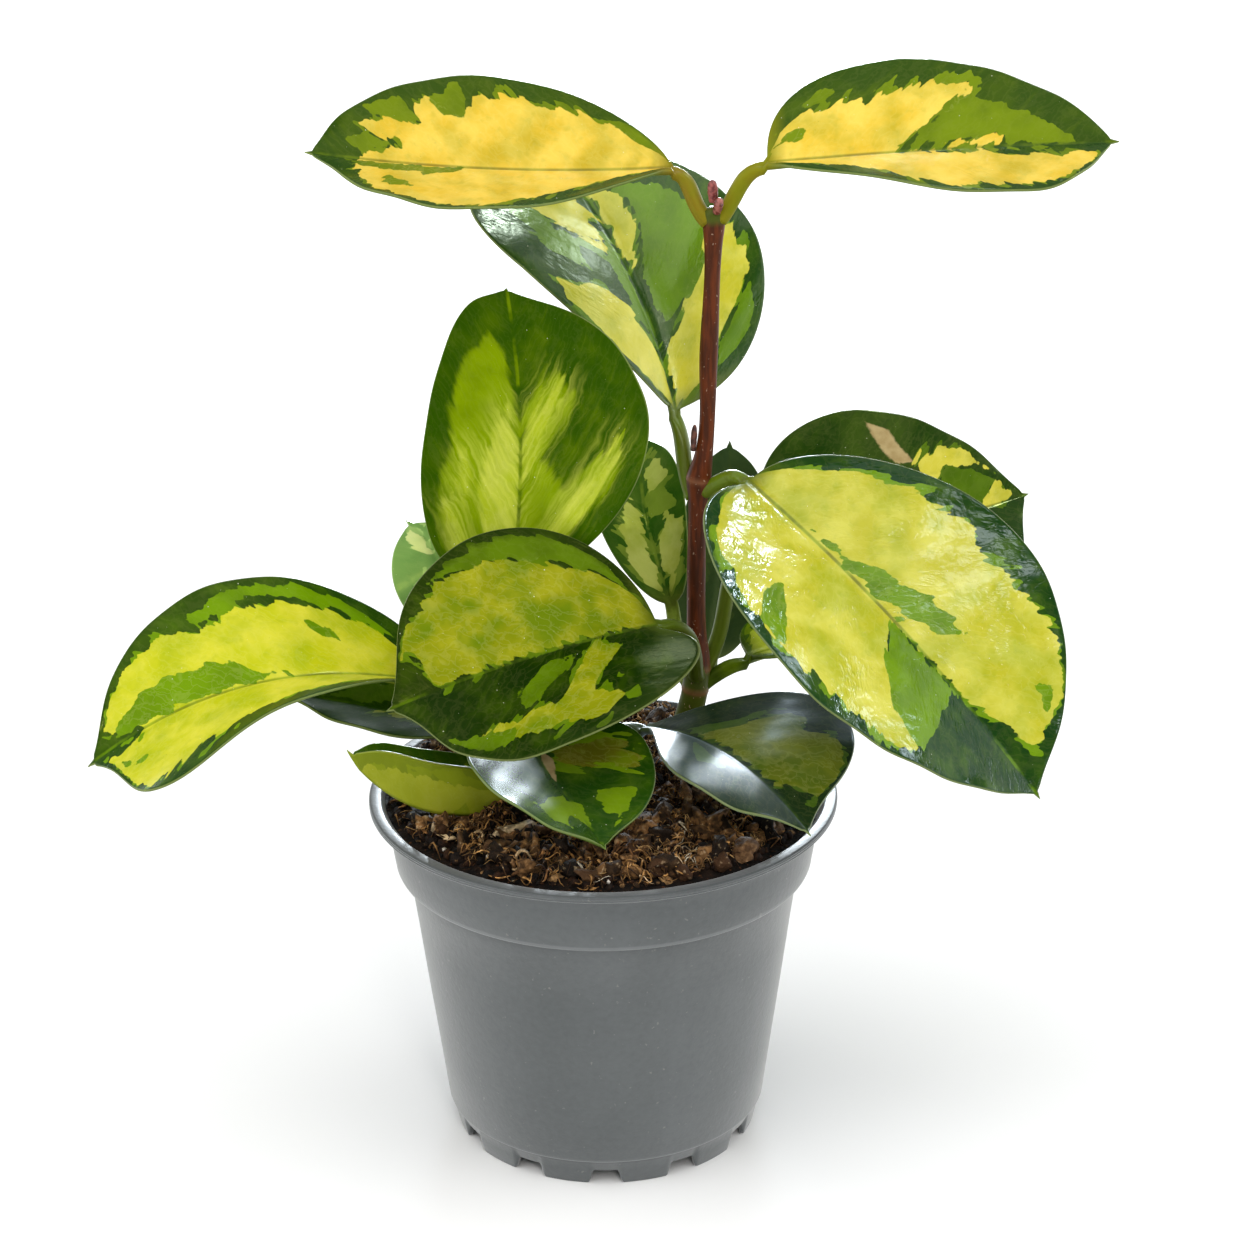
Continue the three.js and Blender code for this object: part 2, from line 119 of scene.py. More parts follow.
def lamp(name, kind, azimuth, elevation, tint):
    """A lamp turned to the plant from an azimuth, round from the back to the right, and an
    elevation. A window is seen only in gloss."""
    azimuth, elevation = math.radians(azimuth), math.radians(elevation)
    level = math.cos(elevation)
    towards = np.array([level * math.sin(azimuth), level * math.cos(azimuth), math.sin(elevation)])
    made = bpy.data.lights.new(name, kind)
    made.color = tint
    shone = put(name, made)
    shone.location = place(LIT_POINT) + LAMP_AWAY[kind] * towards
    shone.rotation_euler = (math.pi / 2 - elevation, 0, math.pi - azimuth)
    shone.visible_diffuse = kind == "SUN"
    shone.visible_camera = False
    return made


for name, (azimuth, elevation, width, strength, tint) in SUNS.items():
    sun = lamp(name, "SUN", azimuth, elevation, tint)
    sun.energy = strength
    sun.angle = math.radians(width)
for name, (azimuth, elevation, width, height, watts) in WINDOWS.items():
    window = lamp(name, "AREA", azimuth, elevation, WINDOW_TINT)
    window.shape = "RECTANGLE"
    window.size, window.size_y = width, height
    window.energy = watts

world = bpy.data.worlds.new("white_surround")
world.use_nodes = True
surround = world.node_tree.nodes["Background"].inputs
surround["Color"].default_value = SURROUND_TINT
surround["Strength"].default_value = SURROUND_STRENGTH
bpy.context.scene.world = world
bpy.context.scene.view_settings.view_transform = "Standard"

# The floor is a plain pale sheet of card under the pot, with no edge or corner in view, so
# that it runs on behind the plant as the background.
FLOOR_HALF = 6000


def colour(code):
    """Linear red, green, blue and alpha from a six-figure screen colour."""
    channels = np.array([int(code[i : i + 2], 16) for i in (0, 2, 4)]) / 255
    linear = np.where(channels <= 0.04045, channels / 12.92, ((channels + 0.055) / 1.055) ** 2.4)
    return (*linear.tolist(), 1.0)


def material(name):
    """A new material, its node tree and its shader."""
    made = bpy.data.materials.new(name)
    made.use_nodes = True
    return made, made.node_tree, made.node_tree.nodes["Principled BSDF"]


def feed(tree, made, inputs):
    """Joins sockets to a node's inputs, or sets values on them."""
    for key, value in inputs.items():
        if isinstance(value, bpy.types.NodeSocket):
            tree.links.new(value, made.inputs[key])
        else:
            made.inputs[key].default_value = value


card, tree, shader = material("white_card")
feed(tree, shader, {"Base Color": colour("F4F4F4"), "Roughness": 0.85})
floor_mesh = bpy.data.meshes.new("floor")
corners = FLOOR_HALF * np.array([(-1, -1, 0), (1, -1, 0), (1, 1, 0), (-1, 1, 0)])
floor_mesh.from_pydata(place(corners).tolist(), [], [(0, 1, 2, 3)])
floor_mesh.materials.append(card)
put("floor", floor_mesh)

# The pot is one thin moulded shell of grey plastic: a flat rim with two fine ridges round
# its edge, a band under it, a plain tapered body, a seam and a ring of twelve feet, with
# drain holes through the floor.
FEET = 12
FEET_R = 39.2
NOTCH_H = 3.7
NOTCH_W = 7.5
NOTCH_SLOPE = 1.5
POT_AROUND = 576
DRAINS = 6
DRAIN_R = 4
DRAIN_RING_R = 27
DRAIN_FROM, DRAIN_TO = 4, 8
SHARP_EDGE = math.radians(50)
# Radius and height, and then how much of a notch's height the row takes.
POT_UNDERSIDE = [
    (20, 5), (38.6, 5), (39, 4.8, 0.2), (38.9, 4.5, 0.4), (38.1, 0.4, 0.97), (38.3, 0.1, 1),
]
POT_OUTSIDE = [
    (38.9, 0.05, 1), (39.25, 0.1, 1), (39.4, 0.5, 0.97), (40.2, 4, 0.4), (40.9, 7.1), (41.1, 7.4),
    (41.4, 7.5), (41.55, 7.8), (43.7, 24), (46, 41), (48.2, 58), (50.4, 74), (50.7, 74.5),
    (52.9, 74.7), (53.4, 74.9), (53.6, 75.4), (54.3, 80), (55.1, 86), (55.7, 90.8), (56.1, 91.15),
    (57.2, 91.2), (59.3, 91.2), (59.8, 91.3), (59.95, 91.5), (59.8, 91.75), (59.95, 92), (60, 92.2),
    (59.82, 92.4), (59.95, 92.65), (59.8, 92.9), (59.4, 93),
]
POT_INSIDE = [
    (58.4, 92.95), (57.3, 93), (57, 92.9), (56.7, 92.6), (54.5, 90.2), (53.3, 82), (52.3, 76.6),
    (51.9, 76.3), (49.6, 75.6), (49.4, 75.2), (46.8, 57), (44.1, 36), (41, 12), (40.3, 7),
    (39.6, 6.3), (20, 6.2),
]
# Height, tone and strength of the lines of painted light and shade: a painted highlight on the
# band's rounded lower edge and on the seam above the feet, painted shade just below each of
# them, and painted shade on the rim's top.
POT_PAINTED_LIGHT_LINES = [
    (75.5, "8A8E90", 0.3), (74.3, "34383A", 0.5), (7.7, "7E8284", 0.3), (7, "34383A", 0.3),
    (93.1, "26292B", 0.55),
]


def piece(name, mesh, finish, replaced=None):
    """A finished piece of the plant: its mesh with its material, riding on the part."""
    made = put(name, mesh)
    made.data.materials.append(finish)
    made.data.shade_smooth()
    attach(made, "root")
    if replaced:
        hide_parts(replaced)
    return made


def keep(mesh, label, values):
    """Keeps one value for each point of a mesh, for its material to read."""
    kept = mesh.attributes.new(label, "FLOAT", "POINT")
    kept.data.foreach_set("value", values.astype(np.float32))


def skin(name, rings, last=None, fields=None, maps=None):
    """A closed mesh over rings of points (rows, around, 3) in millimetres. Quads join each
    ring to the next, and a fan closes each end on a pole. fields holds values at the points
    (rows, around), kept as attributes, and maps holds pairs of them, kept as UV maps."""
    rows, around, _ = rings.shape
    last = rings[-1].mean(0) if last is None else last
    points = np.concatenate([rings.reshape(-1, 3), [rings[0].mean(0)], [last]])
    here = np.arange(around)
    there = (here + 1) % around
    start = np.arange(rows - 1)[:, None] * around
    quads = np.stack([start + here, start + there, start + around + there, start + around + here], -1)
    heel = np.stack([np.full(around, rows * around), there, here], -1)
    end = (rows - 1) * around
    head = np.stack([np.full(around, rows * around + 1), end + here, end + there], -1)
    faces = [*quads.reshape(-1, 4).tolist(), *heel.tolist(), *head.tolist()]
    mesh = bpy.data.meshes.new(name)
    mesh.from_pydata(place(points).tolist(), [], faces)
    for label, values in (fields or {}).items():
        keep(mesh, label, np.concatenate([values.ravel(), [values[0].mean()], [values[-1].mean()]]))
    corners = np.empty(len(mesh.loops), np.int32)
    mesh.loops.foreach_get("vertex_index", corners)
    for label, values in (maps or {}).items():
        flat = values.reshape(-1, 2)
        spread = np.concatenate([flat, [values[0].mean(0)], [values[-1].mean(0)]])
        layer = mesh.uv_layers.new(name=label)
        layer.data.foreach_set("uv", spread[corners].astype(np.float32).ravel())
    return mesh


def notch_height(angle):
    """How far the gaps between the feet cut up into the skirt: a flat top of one width with
    a slope to each side, repeated round the pot, one of them straight to the front."""
    pitch = 2 * math.pi / FEET
    off = (angle + math.pi / 2 + pitch / 2) % pitch - pitch / 2
    share = (NOTCH_W / 2 + NOTCH_SLOPE / 2 - np.abs(off) * FEET_R) / NOTCH_SLOPE
    share = np.clip(share, 0, 1)
    return NOTCH_H * share * share * (3 - 2 * share)


def pot_rings():
    """Rings round the axis along one profile of radius and height, from the middle of the
    underside round the foot, up the outside, over the rim and down to the floor, with each
    row lifted by its share of the notches."""
    profile = np.array([(*row, 0)[:3] for row in POT_UNDERSIDE + POT_OUTSIDE + POT_INSIDE])
    angle = np.linspace(0, 2 * math.pi, POT_AROUND, endpoint=False)
    radius = profile[:, :1] + 0 * angle
    height = profile[:, 1:2] + profile[:, 2:] * notch_height(angle)
    return np.stack([radius * np.cos(angle), radius * np.sin(angle), height], -1)


def with_drain_holes(mesh):
    """The mesh less a ring of upright round bars through the floor."""
    angle = np.linspace(0, 2 * math.pi, 40, endpoint=False)
    circle = DRAIN_R * np.stack([np.cos(angle), np.sin(angle), 0 * angle], -1)
    shell = put("shell", mesh)
    bars = []
    for way in np.radians(np.arange(DRAINS) * 360 / DRAINS):
        middle = DRAIN_RING_R * np.array([math.cos(way), math.sin(way), 0])
        rings = [circle + middle + (0, 0, height) for height in (DRAIN_FROM, DRAIN_TO)]
        bars.append(put("bar", skin("bar", np.array(rings))))
        cut = shell.modifiers.new("drain", "BOOLEAN")
        cut.operation = "DIFFERENCE"
        cut.solver = "EXACT"
        cut.object = bars[-1]
    seen = shell.evaluated_get(bpy.context.evaluated_depsgraph_get())
    holed = bpy.data.meshes.new_from_object(seen)
    for made in (shell, *bars):
        bpy.data.objects.remove(made)
    return holed


class Nodes:
    """Ways to add nodes to one tree. Each gives what the new node puts out, and takes numbers
    and sockets, and colours also as six-figure codes."""

    def __init__(self, tree):
        self.tree = tree

    def add(self, kind, inputs=None, **settings):
        """A shader node with its settings, and its inputs set to a value or joined to a socket."""
        made = self.tree.nodes.new("ShaderNode" + kind)
        for key, value in settings.items():
            setattr(made, key, value)
        feed(self.tree, made, inputs or {})
        return made.outputs

    def kept(self, label):
        """A value kept at the mesh's points."""
        return self.add("Attribute", attribute_name=label)["Fac"]

    def where(self):
        """The place on the object."""
        return self.add("TexCoord")["Object"]

    def sums(self, operation, *values):
        """One sum on sockets or numbers."""
        return self.add("Math", dict(enumerate(values)), operation=operation)[0]

    def times(self, first, second):
        """The product of two values."""
        return self.sums("MULTIPLY", first, second)

    def plus(self, value, size, base):
        """A value times a size, added to a base."""
        return self.sums("MULTIPLY_ADD", value, size, base)

    def swing(self, value, size, base, middle=0.5):
        """A base moved up or down by a value's distance from its middle, times a size."""
        return self.plus(self.sums("SUBTRACT", value, middle), size, base)

    def rest(self, share):
        """What a share leaves of 1."""
        return self.sums("SUBTRACT", 1.0, share)

    def step(self, value, low, high):
        """0 below low, 1 above high, and smooth between."""
        inputs = {"Value": value, "From Min": low, "From Max": high}
        return self.add("MapRange", inputs, interpolation_type="SMOOTHSTEP")[0]

    def lay(self, under, over, share, most=None):
        """One colour laid over another by a share from 0 to 1, or by that times the most."""
        under, over = (colour(tone) if isinstance(tone, str) else tone for tone in (under, over))
        share = share if most is None else self.times(share, most)
        return self.add("Mix", {0: share, 6: under, 7: over}, data_type="RGBA")[2]

    def noise(self, vector, scale, detail=2.0, stretch=None):
        """Noise from 0 to 1 on a vector that may be stretched first."""
        if stretch:
            vector = self.add("Mapping", {"Vector": vector, "Scale": stretch})[0]
        return self.add("TexNoise", {"Vector": vector, "Scale": scale, "Detail": detail})[0]

    def relief(self, height, strength=1.0):
        """A bump normal from a height in millimetres."""
        inputs = {"Height": height, "Strength": strength, "Distance": 0.001}
        return self.add("Bump", inputs)[0]


def pot_plastic():
    """Satin grey plastic with faint clouding, flow marks down the sides, pores, a little dust
    and fine grain, and lines of painted highlight and painted shade at the band, the seam
    and the rim."""
    finish, tree, shader = material("grey_plastic")
    n = Nodes(tree)
    where = n.where()
    cloud = n.noise(where, 22, 3)
    flow = n.noise(where, 60, 2, (1, 1, 0.08))
    fine = n.noise(where, 1400, 2)
    pores = n.noise(where, 620, 2)
    dust = n.step(n.noise(where, 700, 3), 0.68, 0.75)
    tone = n.lay("505455", "595D5E", n.step(cloud, 0.3, 0.7))
    tone = n.lay(tone, "64686A", n.step(flow, 0.45, 0.8), 0.3)
    tone = n.lay(tone, "6C7072", n.step(pores, 0.4, 0.75), 0.12)
    tone = n.lay(tone, "424648", n.rest(n.step(pores, 0.3, 0.46)), 0.12)
    tone = n.lay(tone, "A3A29C", dust, 0.25)
    level = n.times(n.add("SeparateXYZ", {0: where})[2], 1000.0)
    # Painted light and shade: a pale line on each rounded edge, a dark one under it, and a darker rim
    # top.
    for height, code, most in POT_PAINTED_LIGHT_LINES:
        off = n.sums("ABSOLUTE", n.sums("SUBTRACT", level, height))
        tone = n.lay(tone, code, n.rest(n.step(off, 0.1, 0.7)), most)
    height = n.plus(pores, 0.05, n.plus(fine, 0.03, n.times(flow, 0.03)))
    feed(tree, shader, {
        "Base Color": tone, "Roughness": n.plus(cloud, 0.14, 0.33), "Normal": n.relief(height),
        "IOR": 1.5, "Specular IOR Level": 0.22, "Sheen Weight": 0.5, "Sheen Roughness": 0.45,
    })
    return finish


pot_mesh = with_drain_holes(skin("pot_shell", pot_rings()))
pot = piece("pot_shell", pot_mesh, pot_plastic(), "pot")
pot.data.set_sharp_from_angle(angle=SHARP_EDGE)

# The potting mix is damp bark and coir heaped to the rim: a lumpy bed, with crumbs, chips,
# curly fibres and a few white grains of perlite lying in it.
SOIL_R = 56.3
SOIL_Z = 91.8
SOIL_MOUND = 3
SOIL_WALL = [(39.2, 6.6), (48.9, 75.2), (51.7, 76.8), (53.9, 90), (55.6, 91.4)]
SOIL_ROWS = 110
SOIL_AROUND = 260
HEAPS = [(-38, 24, 2.4, 15), (30, 36, 2, 14), (10, -30, 0.9, 16)]
LUMPS = 420
CRUMBS = 4200
CHIPS = 420
CHIP_FLAT = np.array([1.25, 0.8, 0.5])
GRAINS = 60
# Places on the bed of the palest chips, and their sizes along three ways.
PALE_CHIPS_AT = np.array([
    (13, -46), (35, -38), (-3, -50), (29, -44), (-28, -36), (20, -49), (43, -25), (-40, -27), (7, -41),
])
PALE_CHIPS = np.array([
    (3.6, 2.4, 2.6), (4.2, 3.4, 2.8), (3.2, 2, 1.6), (2.6, 2.2, 2), (2.4, 1.8, 1.8), (2.4, 2, 1.6),
    (3, 2.2, 1.8), (2.2, 1.8, 1.5), (2.8, 2, 1.8),
])
FIBRES = {  # how many, their tufts, length, thickness and steps; their finish and its tones
    "coir_fibres": ((3000, 120, 11, 0.22, 9), "coir", ("241004", "FFBE70", "FFECC4")),
    "fine_fibres": ((2200, 130, 9, 0.13, 7), "fine_coir", ("301808", "FFCC84", "FFF2D6")),
    "coarse_fibres": ((420, 60, 10, 0.4, 9), "coarse_coir", ("221408", "C88C54", "F2CC98")),
}
FIBRE_SIDES = 3
IN_TUFTS = 0.6
TUFT_SPREAD = 0.9
FIBRE_REACH_R = 54.8
FIBRE_LIFT = 0.9
FIBRE_ARC = 2.6
rng = np.random.default_rng(7)
lump_at = rng.uniform(-60, 60, (LUMPS, 2))
lump_r = rng.uniform(1.6, 5.5, LUMPS)
lump_h = rng.uniform(-1.3, 1.6, LUMPS) * lump_r / 4


def bell(x, y, middle_x, middle_y, width):
    """A bell curve of height 1 about its middle."""
    return np.exp(-((x - middle_x) ** 2 + (y - middle_y) ** 2) / width**2)


def soil_height(x, y):
    """A low mound that falls to the rim, a few wide heaps on it, and many small round lumps
    and hollows, each a bell curve about its own middle."""
    share = np.hypot(x, y) / SOIL_R
    height = SOIL_Z + SOIL_MOUND * (1 - share**2)
    for heap_x, heap_y, rise, width in HEAPS:
        height = height + rise * bell(x, y, heap_x, heap_y, width)
    lumps = 0
    for (lump_x, lump_y), radius, rise in zip(lump_at, lump_r, lump_h):
        lumps = lumps + rise * bell(x, y, lump_x, lump_y, radius)
    return height + lumps * np.clip(1.15 - share**6, 0, 1)


def soil_rings():
    """Rings from under the mix up the pot's wall, then inwards over the bed, with radii that
    leave the same area between each two."""
    angle = np.linspace(0, 2 * math.pi, SOIL_AROUND, endpoint=False)
    rings = [np.stack([r * np.cos(angle), r * np.sin(angle), z + 0 * angle], -1) for r, z in SOIL_WALL]
    for radius in SOIL_R * np.sqrt(np.linspace(0.985, 0.0004, SOIL_ROWS)):
        x, y = radius * np.cos(angle), radius * np.sin(angle)
        rings.append(np.stack([x, y, soil_height(x, y)], -1))
    return np.array(rings)


def soil_material():
    """Almost black damp coir with a rough crumbly grain. Its tone follows its relief, browner
    on the tops and darkest in the hollows, as painted shade.
    """
    finish, tree, shader = material("damp_mix_with_painted_shade")
    n = Nodes(tree)
    where = n.where()
    coarse = n.noise(where, 240, 6)
    fine = n.noise(where, 900, 4)
    # Painted shade: the tone follows the relief's height, darkest in its hollows and browner on its
    # tops.
    tone = n.lay("040201", "1A0F07", n.step(coarse, 0.38, 0.66))
    tone = n.lay(tone, "5C3A20", n.step(fine, 0.6, 0.75))
    height = n.plus(coarse, 1.6, n.times(fine, 0.5))
    feed(tree, shader, {"Base Color": tone, "Roughness": 0.85, "Specular IOR Level": 0.15,
        "Normal": n.relief(height)})
    return finish


def node_group(name, inputs, outputs):
    """A new node group with its inputs and outputs, which are named and of a kind each: its
    tree, the sockets that come in and the node that puts out."""
    group = bpy.data.node_groups.new(name, "ShaderNodeTree")
    for in_out, sockets in (("INPUT", inputs), ("OUTPUT", outputs)):
        for label, kind in sockets.items():
            group.interface.new_socket(label, in_out=in_out, socket_type="NodeSocket" + kind)
    given = group.nodes.new("NodeGroupInput").outputs
    return group, given, group.nodes.new("NodeGroupOutput")


def crumbly_group():
    """The grain of bark, fibre or perlite. Each bit has a tone of its own between dark and
    light, a few of them are pale, and all have coarse dark and pale spots."""
    group, given, result = node_group("crumbly", dict.fromkeys(("Dark", "Light", "Pale"), "Color"),
        {"Color": "Color", "Height": "Float"})
    n = Nodes(group)
    own = n.kept("tone")
    grain = n.noise(n.where(), 520, 5)
    tone = n.lay(given["Dark"], given["Light"], n.sums("POWER", own, 1.6))
    tone = n.lay(tone, given["Pale"], n.step(own, 0.93, 0.99))
    tone = n.lay(tone, given["Dark"], n.rest(n.step(grain, 0.38, 0.62)), 0.75)
    tone = n.lay(tone, given["Pale"], n.step(grain, 0.6, 0.75), 0.5)
    feed(group, result, {"Color": tone, "Height": n.times(grain, 1.6)})
    return group


crumbly = crumbly_group()


def crumb_material(name, *tones):
    """One kind of bark, fibre or grain, dull and rough, in its dark, light and pale tones."""
    finish, tree, shader = material(name)
    n = Nodes(tree)
    tones = dict(zip(("Dark", "Light", "Pale"), map(colour, tones)))
    crumb = n.add("Group", tones, node_tree=crumbly)
    feed(tree, shader, {"Base Color": crumb["Color"], "Roughness": 0.8, "Specular IOR Level": 0.2,
        "Normal": n.relief(crumb["Height"])})
    return finish


def halved(points, faces):
    """The faces of a ball, each split into four, with the new points out on the ball."""
    edges = np.sort(np.concatenate([faces[:, [0, 1]], faces[:, [1, 2]], faces[:, [2, 0]]]), 1)
    single, back = np.unique(edges, axis=0, return_inverse=True)
    new = points[single].mean(1)
    new = new / np.linalg.norm(new, axis=1, keepdims=True)
    ab, bc, ca = (len(points) + back.ravel()).reshape(3, -1)
    a, b, c = faces.T
    split = np.stack([a, ab, ca, b, bc, ab, c, ca, bc, ab, bc, ca], -1).reshape(-1, 3)
    return np.concatenate([points, new]), split


# A ball of twenty triangles between the corners of three golden rectangles.
golden = (1 + math.sqrt(5)) / 2
rectangle = np.array([(-1, golden, 0), (1, golden, 0), (-1, -golden, 0), (1, -golden, 0)])
ball_points = np.concatenate([np.roll(rectangle, k, axis=1) for k in range(3)])
ball_faces = np.array([
    (0, 11, 5), (0, 5, 1), (0, 1, 7), (0, 7, 10), (0, 10, 11), (1, 5, 9), (5, 11, 4), (11, 10, 2),
    (10, 7, 6), (7, 1, 8), (3, 9, 4), (3, 4, 2), (3, 2, 6), (3, 6, 8), (3, 8, 9), (4, 9, 5),
    (2, 4, 11), (6, 2, 10), (8, 6, 7), (9, 8, 1),
])
BALL = (ball_points / math.hypot(1, golden), ball_faces)
FINE_BALL = halved(*BALL)


def turns(count, tilt):
    """Random turns: any way round the upright, then tipped by up to tilt."""
    spin = rng.uniform(0, 2 * math.pi, count)
    tip = rng.normal(0, tilt, (count, 2))
    cosine, sine, zero, one = np.cos(spin), np.sin(spin), np.zeros(count), np.ones(count)
    upright = np.stack([cosine, -sine, zero, sine, cosine, zero, zero, zero, one], -1)
    a, b = np.cos(tip[:, 0]), np.sin(tip[:, 0])
    about_x = np.stack([one, zero, zero, zero, a, -b, zero, b, a], -1)
    a, b = np.cos(tip[:, 1]), np.sin(tip[:, 1])
    about_y = np.stack([a, zero, b, zero, one, zero, -b, zero, a], -1)
    return about_x.reshape(-1, 3, 3) @ about_y.reshape(-1, 3, 3) @ upright.reshape(-1, 3, 3)


def loose_mesh(name, points, faces, count):
    """A mesh of as many loose bits, each with a random tone from 0 to 1."""
    mesh = bpy.data.meshes.new(name)
    mesh.from_pydata(place(points).tolist(), [], faces)
    keep(mesh, "tone", np.repeat(rng.uniform(0, 1, count), len(points) // count))
    return mesh


def scattered(name, ball, sizes, spots, lift, tilt, rough):
    """Copies of one ball at spots on the bed: each has its own size along three ways, its
    own turn, lumps from three waves across it and corners pushed about at random."""
    shape, faces = ball
    count = len(spots)
    waves = np.einsum("nwj,kj->nkw", rng.normal(0, 2.6, (count, 3, 3)), shape)
    lumps = np.cos(waves + rng.uniform(0, 2 * math.pi, (count, 1, 3))).sum(2, keepdims=True)
    bent = shape[None] * (1 + 0.13 * lumps + rough * rng.normal(0, 1, (count, len(shape), 1)))
    bent = np.einsum("nij,nkj->nki", turns(count, tilt), bent * sizes[:, None])
    ground = soil_height(spots[:, 0], spots[:, 1]) + lift
    points = bent + np.column_stack([spots, ground])[:, None]
    index = faces[None] + len(shape) * np.arange(count)[:, None, None]
    return loose_mesh(name, points.reshape(-1, 3), index.reshape(-1, 3).tolist(), count)


def spots_on_bed(count, reach):
    """Random places on the bed, as many on each patch of it."""
    radius = reach * np.sqrt(rng.uniform(0, 1, count))
    angle = rng.uniform(0, 2 * math.pi, count)
    return np.stack([radius * np.cos(angle), radius * np.sin(angle)], -1)


def bit_sizes(count, shape, scale, least, most):
    """Sizes that start at the least, mostly small with a gamma curve's long tail, up to the
    most."""
    return np.minimum(rng.gamma(shape, scale, (count, 1)) + least, most)


def spread_out(size, flat, narrow, reach):
    """Sizes along three ways, at random between narrow and 1.2 times flat, and places."""
    sizes = size * flat * rng.uniform(narrow, 1.2, (len(size), 3))
    return sizes, spots_on_bed(len(size), reach)


def fibre_mesh(name, count, tufts, length, thickness, steps):
    """Curly fibres: each follows a path that wanders by smooth random turns, over the bed
    and a little above it, and thins to both ends. Most of them spring from shared tufts."""
    t = np.linspace(0, 1, steps)
    start = spots_on_bed(count, 53)
    tuft = spots_on_bed(tufts, 50)[rng.integers(0, tufts, count)]
    tuft = tuft + rng.normal(0, TUFT_SPREAD, (count, 2))
    gathered = rng.uniform(0, 1, (count, 1)) < IN_TUFTS
    start = np.where(gathered, tuft, start)
    reach = length * rng.uniform(0.3, 1, (count, 1)) * np.where(gathered, 0.7, 1)
    heading = rng.uniform(0, 2 * math.pi, (count, 1))
    bend = rng.normal(0, 2.4, (count, 1)) * t
    curl = rng.normal(0, 1.4, (count, 1)) * np.sin(5 * t + rng.uniform(0, 6, (count, 1)))
    way = heading + (bend + curl)
    x = start[:, :1] + np.cumsum(reach * np.cos(way) / steps, 1)
    y = start[:, 1:] + np.cumsum(reach * np.sin(way) / steps, 1)
    inside = np.minimum(1, FIBRE_REACH_R / np.maximum(np.hypot(x, y), 1e-6))
    x, y = x * inside, y * inside
    arc = rng.uniform(-0.2, FIBRE_ARC, (count, 1)) * np.sin(math.pi * t)
    arc = arc + rng.normal(0, 0.5, (count, 1)) * np.sin(7 * t)
    path = np.stack([x, y, soil_height(x, y) + FIBRE_LIFT + arc], -1)
    ahead = np.gradient(path, axis=1)
    ahead /= np.linalg.norm(ahead, axis=-1, keepdims=True)
    side = np.cross(ahead, [0, 0, 1])
    side /= np.maximum(np.linalg.norm(side, axis=-1, keepdims=True), 1e-6)
    up = np.cross(side, ahead)
    girth = thickness * rng.uniform(0.5, 1.2, (count, 1)) * (0.25 + np.sin(math.pi * t) ** 0.6)
    angle = np.linspace(0, 2 * math.pi, FIBRE_SIDES, endpoint=False)
    rim = np.cos(angle)[:, None] * side[:, :, None, :] + np.sin(angle)[:, None] * up[:, :, None, :]
    points = path[:, :, None] + girth[:, :, None, None] * rim
    index = np.arange(count * steps * FIBRE_SIDES).reshape(count, steps, FIBRE_SIDES)
    here, beside = index[:, :-1], np.roll(index, -1, 2)[:, :-1]
    above, across = index[:, 1:], np.roll(index, -1, 2)[:, 1:]
    quads = np.stack([here, beside, across, above], -1).reshape(-1, 4)
    ends = np.concatenate([index[:, 0, ::-1], index[:, -1]])
    return loose_mesh(name, points.reshape(-1, 3), [*quads.tolist(), *ends.tolist()], count)


bed = skin("potting_mix_bed", soil_rings())
piece("potting_mix_bed", bed, soil_material(), "potting_mix")

size = bit_sizes(CRUMBS, 2.2, 0.4, 0.3, 2.1)
crumbs = scattered("crumbs", BALL, *spread_out(size, 1, 0.5, 54), 0.1, 1.2, 0.12)
piece("crumbs", crumbs, crumb_material("dark_crumbs", "040201", "3A200C", "C09460"))

size = bit_sizes(CHIPS, 3, 0.65, 0.9, 3.9)
chips = scattered("bark_chips", FINE_BALL, *spread_out(size, CHIP_FLAT, 0.7, 50), 0.9, 0.8, 0.2)
piece("bark_chips", chips, crumb_material("bark", "0E0703", "B0804E", "F4D6A8"))

chips = scattered("pale_chips", FINE_BALL, PALE_CHIPS, PALE_CHIPS_AT, 1.1, 0.7, 0.2)
piece("pale_chips", chips, crumb_material("pale_bark", "3A2412", "A47C54", "DCBC92"))

size = rng.uniform(0.3, 0.95, (GRAINS, 1))
perlite = scattered("perlite", BALL, *spread_out(size, 1, 0.8, 53), 0.9, 1, 0.08)
piece("perlite", perlite, crumb_material("perlite", "B5AC9E", "D6CFC4", "E6E1D8"))

for name, (numbers, finish, tones) in FIBRES.items():
    piece(name, fibre_mesh(name, *numbers), crumb_material(finish, *tones))

# The stems stand in the mix. They are round and smooth and swell a little where leaves sit.
# The tall one is reddish brown above its lowest leaves and olive green below; the short ones
# are green.
STEMS = {  # points on the axis, with the radius there
    "stem_main": [
        (19, 23, 78, 2.6), (20.8, 22, 98, 3.4), (24, 20, 112.5, 3.4), (24.6, 20, 119.5, 3.3),
        (24.3, 19.4, 128, 2.6), (24.2, 19, 146, 2.4), (24.6, 18, 166.5, 2.6), (24.8, 18, 171, 3.1),
        (25.9, 17.8, 177, 2.4), (27.2, 16.5, 206, 2.3), (28.2, 15.2, 234, 2.3), (28.3, 15, 239.5, 2.8),
        (28.3, 15, 243, 2.6),
    ],
    "stem_left": [
        (-18, 10, 78, 2.4), (-20, 10, 96, 2.8), (-21, 11, 106, 3), (-22, 12, 120, 2.8),
        (-23, 12, 132, 2.8),
    ],
    "stem_front": [(-8, -6, 78, 2.2), (-9, -7, 95, 2.6), (-9, -7, 107, 2.8)],
    "stem_back": [(22, 35, 78, 2), (23, 36, 95, 2.2), (24, 38, 102, 2.4)],
}
JOINTS = {
    "stem_main": (112.5, 118.5, 171.3, 244), "stem_left": (106, 120), "stem_front": (100,),
    "stem_back": (),
}
JOINT_H = 0.7
JOINT_SWELL = 0.22
BROWN_FROM = 116
TOP_GREEN_FROM = 237
STEM_ROWS = 220
STEM_AROUND = 36


